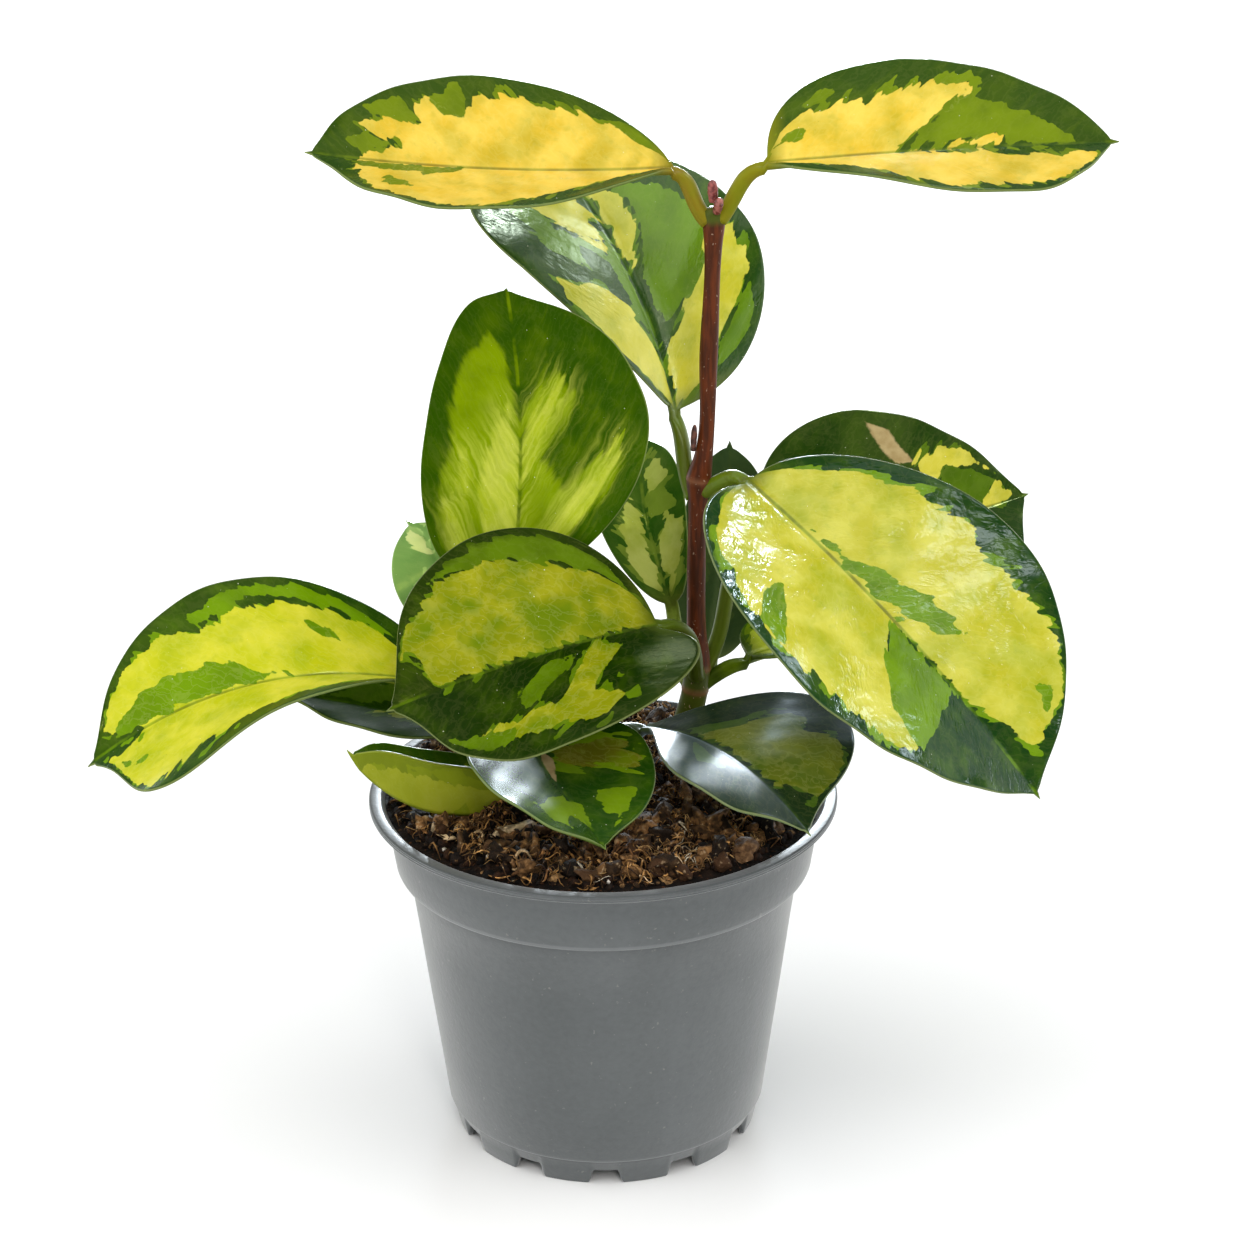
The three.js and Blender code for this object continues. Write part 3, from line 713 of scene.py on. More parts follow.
def smooth_rows(rows, count):
    """Rows spread evenly along a smooth curve through the given ones: a cubic between each
    two, whose slopes come from the rows on either side."""
    rows = np.array(rows, float)
    spans = np.linalg.norm(np.diff(rows[:, :3], axis=0), axis=1)
    knots = np.append(0, np.cumsum(spans))
    slopes = np.gradient(rows, knots, axis=0)
    t = np.linspace(0, knots[-1], count)
    k = np.clip(np.searchsorted(knots, t, side="right") - 1, 0, len(rows) - 2)
    span = (knots[k + 1] - knots[k])[:, None]
    s = (t[:, None] - knots[k][:, None]) / span
    start = (2 * s**3 - 3 * s**2 + 1) * rows[k] + (s**3 - 2 * s**2 + s) * span * slopes[k]
    return start + (3 * s**2 - 2 * s**3) * rows[k + 1] + (s**3 - s**2) * span * slopes[k + 1]


def tube_rings(path, radius, sides, first=(1, 0, 0)):
    """Circles square to a path. The first point of each is as near as can be to one way."""
    ahead = np.gradient(path, axis=0)
    ahead /= np.linalg.norm(ahead, axis=1, keepdims=True)
    across = np.asarray(first, float) - ahead * (ahead @ np.asarray(first, float))[:, None]
    across /= np.linalg.norm(across, axis=1, keepdims=True)
    up = np.cross(ahead, across)
    angle = np.linspace(0, 2 * math.pi, sides, endpoint=False)
    rim = np.cos(angle)[:, None] * across[:, None] + np.sin(angle)[:, None] * up[:, None]
    return path[:, None] + np.asarray(radius)[:, None, None] * rim


def stem_material():
    """Smooth bark: reddish brown above, olive green towards the mix, pinkish at the joints,
    with fine lengthwise streaks and pale raised specks."""
    finish, tree, shader = material("stem_bark")
    n = Nodes(tree)
    where = n.where()
    streak = n.noise(where, 900, 3, (1, 1, 0.12))
    cloud = n.noise(where, 140, 2)
    speck = n.step(n.noise(where, 1500, 1, (1, 1, 0.5)), 0.7, 0.76)
    green = n.lay("2E3A08", "566016", cloud)
    brown = n.lay("421D08", "622C0E", n.step(streak, 0.35, 0.7))
    tone = n.lay(green, brown, n.step(n.plus(cloud, 0.3, n.kept("brown")), 0.4, 0.9))
    tone = n.lay(tone, "84563A", n.kept("joint"), 0.75)
    tone = n.lay(tone, "B99A82", speck, 0.6)
    height = n.plus(streak, 0.06, n.times(speck, 0.06))
    feed(tree, shader, {"Base Color": tone, "Roughness": 0.42, "Specular IOR Level": 0.15,
        "Normal": n.relief(height)})
    return finish


bark = stem_material()
for name, rows in STEMS.items():
    along = smooth_rows(rows, STEM_ROWS)
    height = along[:, 2]
    joint = sum(np.exp(-(((height - z) / JOINT_H) ** 2)) for z in JOINTS[name]) + 0 * height
    radius = along[:, 3] + JOINT_SWELL * joint
    if name != "stem_left":
        radius = radius * np.sqrt(1 - np.clip((height - height[-1] + 1.2) / 1.3, 0, 1) ** 2)
    brown = 0 * height
    if name == "stem_main":
        brown = np.clip((height - BROWN_FROM) / 6, 0, 1)
        brown = brown * (1 - 0.85 * np.clip((height - TOP_GREEN_FROM) / 4, 0, 1))
    even = np.ones((1, STEM_AROUND))
    fields = {"brown": brown[:, None] * even, "joint": np.clip(joint, 0, 1)[:, None] * even}
    mesh = skin(name + "_bark", tube_rings(along[:, :3], radius, STEM_AROUND), fields=fields)
    piece(name + "_bark", mesh, bark, name)

# The leaves are thick and waxy, folded a little along the midrib, each with its own stalk.
# They are dark green at the margin and yellow within, with bright green patches between, and
# sit in pairs on the joints of the stems.
COMMON = dict(
    twist=0, sway=0, fold=12, cup=0, lobes=(0, 0), drip=4, nib=0.42, flare=0.2, slant=0.8, relief=1,
    matte=0, shine=0.28, ior=1.42, gleam="EEFF78", veil=0, painted_glow=0, streaks=0, greening=0.3,
    softness=0.12, border=1.6, pale_over=0, below="566C20", scar=[],
)
# A leaf's own lines give its stalk's place on the stem with the stem's radius there, and the
# way it leaves; the blade's ends and the way it faces; its half widths, its bends and the
# numbers of its outline and finish; its tones from yellow to the stalk's; and its markings,
# drawn in hundredths of the blade's length and half width.
LEAVES = {
    "leaf_top_left": dict(
        stem=(28.2, 15, 238.6, 2.8), leave=(-80, 5, 60), heel=(18, 19, 252), tip=(-70, 6, 260),
        face=(-1, -48, 88), left=25, right=25, twist=-7, arch=-3, fold=19, cup=3, belly=0.59,
        skew=0.06, blunt=0.59, sharp=0.56, tones=("DAB436", "E6C652", "667A0C", "22400C", "7E6A1C"),
        yellow=[
            [(0, 0), (0, 30), (15, 50), (25, 62), (35, 75), (45, 86), (55, 94), (70, 93), (82, 88),
             (87, 60), (87, 25), (86, 4), (84, -8), (80, -16), (74, -20), (75, -30), (83, -45),
             (86, -66), (78, -60), (69, -48), (72, -64), (66, -78), (61, -58), (55, -60), (52, -80),
             (40, -78), (33, -72), (26, -80), (20, -72), (13, -78), (8, -62), (0, -58)],
        ],
        mid=[
            [(48, 1), (60, 12), (70, 21), (85, 24), (89, 8), (83, 3), (65, 3)],
            [(2, -72), (10, -62), (17, -84), (10, -98), (3, -95)],
            [(54, -60), (62, -58), (66, -80), (58, -92)],
            [(74, -20), (88, -22), (90, -40), (84, -45)],
            [(67, -48), (80, -68), (84, -92), (74, -84)], [(72, 55), (80, 60), (78, 35)],
        ],
    ),
    "leaf_top_right": dict(
        stem=(28.2, 15, 238.6, 2.8), leave=(70, -5, 75), heel=(41, 12, 255), tip=(125, 6, 261),
        face=(0, -51, 86), left=25, right=22, twist=-3, arch=2, sway=-1, fold=18, belly=0.54,
        skew=-0.16, blunt=0.51, sharp=0.62, tones=("DAB636", "E6C854", "6A800E", "203F0E", "7C7416"),
        yellow=[
            [(0, 0), (2, 62), (8, 62), (14, 60), (22, 62), (27, 58), (29, 47), (33, 60), (40, 68),
             (48, 75), (56, 75), (60, 70), (58, 60), (54, 50), (50, 40), (46, 25), (40, 9), (36, 2),
             (45, -2), (47, -10), (60, -9), (70, -18), (79, -17), (83, -36), (86, -24), (90, -28),
             (93, -60), (92, -84), (70, -86), (42, -86), (34, -70), (22, -58), (10, -48), (0, -60)],
            [(46, 1), (58, 12), (66, 18), (66, 5), (52, 1)],
        ],
        mid=[
            [(38, 3), (46, 22), (52, 48), (58, 60), (68, 58), (80, 45), (86, 22), (88, 2), (69, 3),
             (67, 18), (56, 10)],
            [(40, 76), (50, 82), (60, 92), (62, 78), (50, 74)],
            [(2, 32), (6, 44), (12, 40), (10, 28)], [(5, 70), (15, 88), (20, 76), (12, 66)],
            [(44, -4), (60, -8), (76, -16), (80, -4)],
        ],
    ),
    "leaf_upper_back": dict(
        stem=(24.8, 18, 164, 2.8), leave=(-45, 35, 80), heel=(19, 25, 187), tip=(-22, 69, 255),
        face=(44, -77, 46), left=37, right=35, twist=12, arch=4, sway=-5, fold=18, cup=-6, belly=0.51,
        skew=0.15, blunt=0.55, sharp=1.2, lobes=(6, 0), shine=0.6, gleam="F2FFD8",
        tones=("C6C034", "D6D056", "5F840E", "1A3E0C", "545E14"),
        yellow=[
            [(0, 6), (2, 60), (10, 86), (25, 89), (40, 90), (45, 84), (41, 65), (38, 42), (30, 28),
             (20, 20), (12, 5)],
            [(44, 12), (52, 24), (60, 42), (68, 56), (76, 50), (72, 22), (60, 8)],
            [(0, -4), (18, -8), (24, -25), (32, -45), (44, -66), (42, -84), (28, -88), (18, -68),
             (4, -40)],
            [(40, -2), (68, -3), (66, -26), (58, -24), (50, -16), (44, -10)],
            [(72, 10), (78, 45), (88, 30), (84, -20), (74, -30)],
        ],
        mid=[
            [(22, -8), (30, -46), (45, -72), (60, -66), (68, -30), (56, -30), (48, -22), (42, -12),
             (36, -6)],
            [(44, 44), (52, 62), (68, 72), (68, 58), (54, 38)],
            [(12, 4), (26, 16), (40, 20), (60, 8), (50, 3)],
            [(4, -58), (12, -60), (26, -88), (12, -92)],
        ],
    ),
    "leaf_big_right": dict(
        stem=(24.8, 18, 167.5, 3), leave=(80, -30, 50), heel=(37, 12, 173), tip=(108, -32, 105),
        face=(31, -73, 60), left=38, right=37, twist=18, arch=5, sway=1, fold=15, cup=3, belly=0.52,
        skew=0.02, blunt=0.59, sharp=0.63, lobes=(4, 12), relief=1.7, matte=-0.07, gleam="E8F6FF",
        tones=("B6B22A", "CAC64E", "688C08", "123606", "5A6414"),
        yellow=[
            [(0, 2), (0, 70), (10, 78), (30, 84), (43, 84), (50, 74), (58, 77), (68, 82), (74, 94),
             (86, 94), (90, 62), (90, 40), (85, 22), (78, 9), (72, 2), (46, -2), (50, -16), (58, -44),
             (66, -60), (75, -80), (70, -90), (50, -84), (40, -90), (20, -91), (10, -84), (0, -78)],
        ],
        mid=[
            [(18, 4), (32, 15), (42, 20), (50, 29), (61, 33), (56, 18), (46, 5), (30, 2)],
            [(46, -2), (50, -18), (60, -50), (70, -74), (76, -84), (74, -56), (70, -20), (68, -2)],
            [(27, -57), (34, -66), (39, -86), (33, -94), (29, -78)], [(79, 62), (84, 84), (86, 70)],
        ],
    ),
    "leaf_back_right": dict(
        stem=(24.6, 20, 116.5, 3), leave=(60, 40, 60), heel=(43, 42, 145), tip=(114, 64, 149),
        face=(2, -57, 82), left=35, right=33, arch=3, sway=-5, belly=0.52, skew=-0.11, blunt=0.51,
        sharp=0.66, tones=("C6BC38", "D2C850", "4A680A", "16340A", "525E1A"),
        yellow=[
            [(60, 52), (64, 62), (70, 76), (80, 82), (88, 74), (78, 60), (70, 52), (68, 38),
             (63, 36)],
            [(79, 8), (86, 30), (91, 58), (93, 20), (86, -8)],
            [(12, -40), (24, 8), (46, 22), (62, 4), (60, -56), (32, -70)],
        ],
        mid=[
            [(67, 30), (71, 52), (80, 60), (88, 52), (84, 20), (74, 0)],
            [(10, 20), (22, 45), (40, 40), (30, 15)], [(58, -20), (72, -10), (70, -60), (60, -66)],
        ],
        scar=[[(46, 90), (54, 83), (56, 69), (60, 55), (53, 51), (49, 64), (47, 79)]],
    ),
    "leaf_front": dict(
        stem=(24.6, 20, 116.5, 3.2), leave=(-10, -90, 30), heel=(14, -2, 140), tip=(-53, -25, 127),
        face=(-8, -63, 77), left=32, right=34, twist=-1, arch=2, sway=-1, fold=16, cup=-1, belly=0.53,
        skew=0.05, blunt=0.56, sharp=0.42, lobes=(17, 1), matte=0.03, shine=0.16, greening=0.85,
        border=4, tones=("7E840A", "98981A", "547004", "0D2600", "3E4614"),
        yellow=[
            [(0, -2), (80, -3), (82, -25), (84, -52), (90, -80), (76, -78), (68, -86), (50, -78),
             (40, -74), (25, -68), (10, -64), (0, -50)],
            [(22, 4), (30, 22), (38, 40), (45, 54), (55, 58), (68, 62), (74, 70), (62, 76), (50, 80),
             (40, 88), (33, 80), (36, 60), (28, 42), (18, 26)],
        ],
        mid=[
            [(6, -64), (30, -72), (60, -80), (72, -90), (40, -96), (10, -86)],
            [(30, 8), (42, 34), (56, 52), (60, 40), (44, 14)],
            [(60, 70), (76, 90), (86, 84), (76, 70)],
        ],
    ),
    "leaf_lime_right": dict(
        stem=(24, 20, 112.5, 3.4), leave=(70, 15, 40), heel=(38, 24, 120), tip=(73, 37, 118),
        face=(1, 6, 100), left=18, right=16, twist=-2, arch=2, cup=-2, belly=0.42, skew=-0.03,
        blunt=0.47, sharp=0.85, painted_glow=0.15, tones=("A9B62A", "BCC640", "6E860A", "365A0A", "2E4008"),
        yellow=[[(2, 0), (10, 70), (40, 78), (70, 60), (90, 10), (70, -50), (40, -74), (10, -60)]],
        mid=[[(30, 20), (40, 92), (60, 80), (50, 30)], [(60, -8), (70, -60), (84, -20)]],
    ),
    "leaf_mid_back": dict(
        stem=(24, 20, 112, 3.4), leave=(-50, 80, 30), heel=(18, 33, 131), tip=(10, 56, 170),
        face=(-5, -92, 40), left=13, right=11, arch=8, sway=2, cup=1, belly=0.6, skew=0.01,
        blunt=0.35, sharp=0.4, tones=("AEB84A", "C2CA66", "7C9430", "305A14", "5E6C24"),
        yellow=[
            [(6, 20), (12, 66), (34, 68), (50, 55), (60, 30), (45, 8), (20, 10)],
            [(5, -24), (20, -14), (35, -30), (50, -50), (44, -84), (16, -80)],
            [(62, -20), (76, -10), (84, -50), (70, -66)],
        ],
        mid=[[(48, -10), (60, -6), (62, -60), (50, -80)], [(0, 0), (40, 4), (60, 4), (40, -6)]],
    ),
    "leaf_grey_back": dict(
        stem=(24, 38, 102, 0), leave=(14, 29, 95), heel=(29, 47, 109), tip=(34, 63, 165),
        face=(11, 91, 40), left=13, right=13, arch=4, sway=1, belly=0.48, skew=0.01, blunt=0.46,
        sharp=0.46, tones=("A0A860", "B4BA78", "4E661C", "22440F", "5E6A42"), below="3A4A34",
        yellow=[[(20, 20), (40, 50), (60, 30), (40, 5)]],
        mid=[[(10, -60), (50, -80), (80, -40), (40, -20)]],
    ),
    "leaf_tall_left": dict(
        stem=(-23, 12, 132, 0), leave=(-8, 0, 100), heel=(-23, 14, 143.5), tip=(-23, 22, 220.5),
        face=(-30, -94, 14), left=26, right=35, twist=7, arch=-3, sway=-2, fold=1, cup=7, belly=0.48,
        skew=-0.11, blunt=0.48, sharp=0.4, drip=1.4, nib=1.3, flare=0.7, slant=1.7, shine=0.1,
        ior=1.3, painted_glow=0.1, streaks=0.5, softness=1.3, border=8, pale_over=0.6,
        tones=("B4C02C", "C8CE50", "789002", "294A00", "4A600E"),
        yellow=[
            [(0, 3), (0, 28), (14, 34), (30, 42), (42, 38), (52, 28), (60, 14), (50, 4), (30, 2)],
            [(28, 54), (34, 64), (44, 64), (45, 56), (36, 50)],
            [(5, 62), (12, 84), (26, 82), (28, 72), (16, 60)],
            [(36, -3), (40, -11), (52, -16), (62, -30), (71, -35), (66, -24), (56, -9), (44, -3)],
            [(2, -24), (4, -54), (20, -56), (34, -70), (46, -79), (52, -78), (44, -68), (34, -52),
             (20, -36)],
        ],
        mid=[
            [(0, 0), (0, 50), (10, 88), (26, 88), (45, 72), (62, 76), (76, 70), (84, 40), (78, 16),
             (62, 6), (50, 1)],
            [(0, 0), (0, -60), (20, -66), (36, -78), (50, -84), (44, -60), (34, -38), (44, -18),
             (66, -44), (74, -30), (60, -4), (40, 0)],
        ],
    ),
    "leaf_small_back_left": dict(
        stem=(-22, 12, 120, 2.8), leave=(-70, 70, 10), heel=(-39, 24, 128), tip=(-51, 40, 152),
        face=(-10, -81, 58), left=13, right=13, arch=8, sway=-4, belly=0.45, skew=0, blunt=0.54,
        sharp=0.62, tones=("C4D07A", "D0DA90", "9ABA68", "6C944A", "56682C"),
        yellow=[
            [(62, 8), (74, 40), (86, 74), (90, 40), (78, 0)],
            [(60, -24), (74, -40), (84, -80), (70, -60)],
        ],
        mid=[[(10, -50), (40, -70), (60, -50), (40, -20)], [(20, 40), (40, 60), (50, 30)]],
    ),
    "leaf_far_left": dict(
        stem=(-22, 12, 120, 2.8), leave=(-70, -70, 10), heel=(-41, -2, 124), tip=(-128, -22, 111),
        face=(-25, -40, 88), left=30, right=30, twist=22, arch=10, sway=-5, fold=18, cup=5,
        belly=0.64, skew=0.16, blunt=0.36, sharp=0.47,
        tones=("B6BA14", "CCC836", "668C02", "183A06", "7C8420"),
        yellow=[
            [(2, 0), (4, 50), (20, 66), (45, 72), (60, 74), (76, 78), (85, 92), (91, 80), (94, 54),
             (93, 30), (86, 14), (81, 3), (91, -26), (93, -60), (90, -80), (84, -82), (72, -76),
             (62, -64), (50, -72), (38, -74), (24, -70), (12, -60), (3, -40)],
        ],
        mid=[
            [(38, -2), (50, -14), (58, -32), (65, -29), (72, -38), (81, -42), (90, -26), (91, -8),
             (70, -3)],
            [(8, -66), (30, -76), (46, -80), (60, -70), (66, -78), (50, -92), (20, -92)],
            [(84, 42), (90, 56), (91, 44)], [(80, 10), (84, 14), (93, 8), (88, 2)],
            [(24, -38), (28, -42), (32, -56), (27, -48)],
        ],
    ),
    "leaf_under_left": dict(
        stem=(-21, 11, 106, 3), leave=(-60, -70, 30), heel=(-31, 2, 111), tip=(-84, 11, 117),
        face=(-15, -12, 98), left=15, right=15, twist=-2, arch=-1, sway=-1, cup=-2, belly=0.44,
        skew=-0.01, blunt=0.56, sharp=0.86, matte=0.25, shine=0.05, ior=1.1,
        tones=("8E9820", "9EA630", "44600A", "1E3C00", "323E10"), below="3A4E06",
        yellow=[[(10, 5), (30, 40), (50, 20), (30, -10)]],
        mid=[[(30, -60), (60, -60), (80, -10), (50, -10)]],
    ),
    "leaf_low_left": dict(
        stem=(-9, -7, 99, 2.7), leave=(-90, -30, 10), heel=(-20, -18, 100), tip=(-63, -26, 117),
        face=(1, 30, 95), left=13, right=15, arch=-8, sway=-1, fold=62, belly=0.45, skew=0,
        blunt=0.55, sharp=0.49, tones=("9AA022", "AEB038", "6A800A", "30520A", "5E661A"),
        below="848C1E",
        yellow=[[(10, -60), (16, 62), (50, 66), (86, 50), (92, 0), (86, -50), (50, -66)]],
        mid=[[(14, 60), (50, 66), (70, 80), (40, 92)], [(20, -20), (36, 0), (30, 30)]],
    ),
    "leaf_front_low": dict(
        stem=(-21.2, 11.3, 111, 2.9), leave=(10, -90, 30), heel=(-19, -17, 115), tip=(1, -54, 103),
        face=(24, -30, 92), left=25, right=24, twist=7, arch=-1, sway=1, fold=14, cup=6, belly=0.35,
        skew=0.01, blunt=0.49, sharp=0.4, relief=0.2, matte=0.06, shine=0.32, gleam="E8F6FF",
        greening=0.6, tones=("5A5A0A", "6C6A12", "6E8C08", "1A3E02", "3E480E"),
        yellow=[[(14, 10), (18, 70), (28, 84), (50, 84), (46, 70), (40, 58), (34, 40), (26, 18)]],
        mid=[
            [(54, 34), (60, 60), (64, 72), (74, 68), (76, 50), (72, 32), (60, 24)],
            [(76, 46), (82, 66), (84, 50)],
            [(50, -8), (52, -30), (60, -55), (72, -60), (79, -44), (70, -18), (80, 4), (60, 6)],
        ],
        scar=[[(11, 8), (20, 12), (33, 3), (41, -5), (30, -2), (15, 1)]],
    ),
    "leaf_low_right": dict(
        stem=(-9, -7, 103, 2.8), leave=(70, 60, 20), heel=(11, 4, 109), tip=(51, -43, 101),
        face=(22, -34, 91), left=31, right=22, twist=16, arch=7, sway=1, fold=13, cup=-2, belly=0.64,
        skew=-0.01, blunt=0.73, sharp=0.4, relief=0.3, matte=0.06, shine=0.45, gleam="E8F6FF", veil=1,
        # Its yellow is painted darker, a dark olive, as painted shade from leaf_big_right above it.
        greening=0.6, tones=("58620C", "6A7216", "3C560E", "11260A", "3C4818"),
        yellow=[
            [(28, 5), (38, 30), (45, 54), (48, 74), (55, 70), (60, 58), (66, 70), (72, 84), (85, 88),
             (90, 62), (86, 38), (80, 26), (75, 6), (50, 3)],
        ],
        mid=[[(24, 4), (34, 40), (44, 76), (40, 40), (30, 6)], [(30, -20), (60, -30), (50, -60)]],
    ),
}
LEAF_RIM = 0.8
LEAF_SWELL = 0.5
EDGE_R = 0.45
RIDGE_H = 1.3
RIDGE_W = 1.3
GROOVE_H = 0.35
GROOVE_W = 0.7
VEIN_SLANT = 0.8
QUILT_H = 0.035
QUILT_PITCH = 8.3
CROSS_PITCH = 13
WAVE_H = 0.35
WAVE_PITCH = 23
NECK = 1.6
STALK_R = 2
STALK_GAP = 0.3
STALK_GAP_ON_TOP = 0.45
STALK_BEND = 0.4
STALK_SWELL = 0.14
BLADE_ROWS = 120
BLADE_AROUND = 96
STALK_ROWS = 22
SCAR_REACH = 30
NO_MARK = -9.0
WAVE_SHIFT = 1.7
MAP_SHIFT = 7.3
CAD_LIMITS = [1000 * (np.array(corner) - POT_AXIS) for corner in cad_box]


def unit(vector):
    """The vector at a length of one."""
    return np.asarray(vector, float) / np.linalg.norm(vector)


def blade_frame(leaf):
    """The blade's heel and length, and its ways: along it, up out of it and to its left."""
    heel, tip = (np.array(leaf[end], float) for end in ("heel", "tip"))
    axis = unit(tip - heel)
    face = np.array(leaf["face"], float)
    up = unit(face - axis * (face @ axis))
    return heel, np.linalg.norm(tip - heel), axis, up, np.cross(up, axis)


def half_width(leaf, u, side, length):
    """Half a blade's width: a sine hump whose widest place is set by a power of u, raised
    to a power that runs from blunt at the heel to sharp at the tip. The neck is its least
    value, and a limit that grows with the square of the distance from the tip draws the
    last few millimetres in to a point."""
    drip = leaf["drip"]
    along = np.clip(u / (1 - 0.5 * drip / length), 0, 1)
    bent = along ** (math.log(0.5) / np.log(leaf["belly"] + leaf["skew"] * side))
    power = leaf["blunt"] + (leaf["sharp"] - leaf["blunt"]) * along
    body = np.where(side > 0, leaf["left"], leaf["right"])
    body = body * np.maximum(np.sin(math.pi * bent), 0) ** power
    left_over = (1 - u) * length
    body = np.maximum(body, NECK * np.minimum(1, left_over / drip))
    limit = leaf["nib"] * left_over + leaf["flare"] * left_over**2 + 1e-3
    return (np.maximum(body, 1e-3) ** -4 + limit**-4) ** -0.25


def blade_points(leaf, u, v):
    """Points of the blade's upper side, the way out of it there and its half width, for u
    from heel to tip and v from 1 on the left margin to -1 on the right. The midrib runs
    from heel to tip with a bend up and a sway to the left. Each half rises from it by the
    fold, and by the cup at the margin. The section turns by the twist along the way, and
    the lobes pull the margins back at the heel."""
    heel, length, axis, up, left = blade_frame(leaf)
    turn = np.radians(leaf["twist"] * (u - 0.5))[..., None]
    out_up = up * np.cos(turn) + left * np.sin(turn)
    out_left = left * np.cos(turn) - up * np.sin(turn)
    side = np.where(v < 0, -1.0, 1.0)
    out = np.abs(v)
    half = half_width(leaf, u, side, length)
    narrow = np.maximum(1 - NECK / np.maximum(half, 1e-6), 0)
    back = np.sin(math.pi * np.minimum(2 * u, 1) ** 0.6) * narrow
    lobe = np.where(v < 0, leaf["lobes"][1], leaf["lobes"][0]) * out**2 * back
    rise = np.radians(leaf["fold"] + leaf["cup"] * (out - 0.5))
    hump = (4 * u * (1 - u))[..., None]
    middle = heel + (u * length - lobe)[..., None] * axis
    middle = middle + hump * (leaf["arch"] * up + leaf["sway"] * left)
    across = (side * out * half * np.cos(rise))[..., None] * out_left
    points = middle + across + (out * half * np.sin(rise))[..., None] * out_up
    normal = out_up * np.cos(rise * out)[..., None] - out_left * (side * np.sin(rise * out))[..., None]
    return points, normal, half


def stalk_rings(leaf, neck):
    """The round stalk along a cubic curve from beside the stem to the blade's heel. It is a
    little thicker at the stem, and over its last part it turns into the neck's section."""
    heel, _, axis, up, left = blade_frame(leaf)
    way = unit(leaf["leave"])
    stem_r = leaf["stem"][3]
    clear = STALK_GAP_ON_TOP
    if stem_r:
        clear = (stem_r + STALK_GAP + STALK_R * abs(way[2])) / math.hypot(way[0], way[1])
    start = np.array(leaf["stem"][:3]) + 0.3 * clear * way
    end = heel - STALK_R * up
    bend = STALK_BEND * np.linalg.norm(end - start)
    corners = (start, start + bend * way, end - bend * axis, end)
    s = np.linspace(0, 1, STALK_ROWS, endpoint=False)[:, None]
    path = (1 - s) ** 3 * corners[0] + 3 * s * (1 - s) ** 2 * corners[1]
    path = path + 3 * s**2 * (1 - s) * corners[2] + s**3 * corners[3]
    swell = STALK_R * (1 + STALK_SWELL * np.exp(-((s[:, 0] / 0.12) ** 2)))
    tube = tube_rings(path, swell, BLADE_AROUND, left)
    share = np.clip((s[:, :, None] - 0.55) / 0.45, 0, 1) ** 2
    return (1 - share) * tube + share * (path[:, None] + (neck - neck.mean(0)))


def leaf_rings(leaf, seed):
    """The whole leaf as rings that go over its upper side from left to right and back under
    it: the stalk, and then the blade, thickest in the middle, with a rounded margin, a groove
    along the midrib and its ridge below, both bell curves, shallow quilting from two waves
    along the side veins, and a slow wave that grows with the fourth power towards the
    margin."""
    length = blade_frame(leaf)[1]
    phase = 2 * math.pi * np.arange(BLADE_AROUND) / BLADE_AROUND
    stations = (1 - np.cos(math.pi * (np.arange(BLADE_ROWS) + 0.3) / (BLADE_ROWS + 0.35))) / 2
    u, angle = np.meshgrid(stations, phase, indexing="ij")
    v = np.cos(angle)
    upper = np.sin(angle) >= 0
    surface, normal, half = blade_points(leaf, u, v)
    margin = half * (1 - np.abs(v))
    thick = (LEAF_RIM + LEAF_SWELL * (1 - v * v)) * np.minimum(1, (1 - u) * 8 + 0.25)
    edge = np.sqrt(1 - (1 - np.clip(margin / EDGE_R, 0, 1)) ** 2)
    rib = np.abs(v) * half
    ridge = RIDGE_H * (1 - u) * np.exp(-((rib / RIDGE_W) ** 2))
    slant = u * length - VEIN_SLANT * rib
    quilt = np.sin(2 * math.pi * slant / QUILT_PITCH + seed)
    quilt = quilt + np.sin(2 * math.pi * (0.7 * slant + rib) / CROSS_PITCH + 3 * seed)
    quilt = QUILT_H * quilt * np.clip(margin / 4, 0, 1) * np.clip(rib / 3, 0, 1)
    wave = WAVE_H * v**4 * np.sin(2 * math.pi * slant / WAVE_PITCH + 2 * seed)
    groove = GROOVE_H * np.exp(-((rib / GROOVE_W) ** 2)) * np.clip(half / 6, 0, 1) * (1 - 0.6 * u)
    sink = np.where(upper, 0.5 * thick * (1 - edge) + groove, thick * (0.5 + 0.5 * edge) + ridge)
    blade = surface + (quilt + wave - sink)[..., None] * normal
    return np.concatenate([stalk_rings(leaf, blade[0]), blade]), u, v, half, length, upper


def inside_by(points, outline):
    """How far points are inside a closed outline, or outside it as a negative distance."""
    corners = np.array(outline, float)
    ends = np.roll(corners, -1, 0)
    side = ends - corners
    offset = points[:, None] - corners
    share = np.clip((offset * side).sum(-1) / (side**2).sum(-1), 0, 1)
    distance = np.linalg.norm(offset - share[..., None] * side, axis=-1).min(1)
    above = corners[:, 1] > points[:, 1:2]
    above_end = ends[:, 1] > points[:, 1:2]
    slope = side[:, 0] / np.where(side[:, 1] == 0, 1e-9, side[:, 1])
    crossed = points[:, :1] < corners[:, 0] + slope * (points[:, 1:2] - corners[:, 1])
    inside = ((above != above_end) & crossed).sum(1) % 2 == 1
    return np.where(inside, distance, -distance)


def marking(outlines, u, v, reach):
    """How far each point is inside the nearest of a leaf's outlines, which are in hundredths
    of the reach along and across."""
    if not outlines:
        return np.full(u.shape, NO_MARK)
    where = np.stack([u.ravel(), v.ravel()], -1) * reach
    return np.max([inside_by(where, np.array(o) / 100 * reach) for o in outlines], 0).reshape(u.shape)


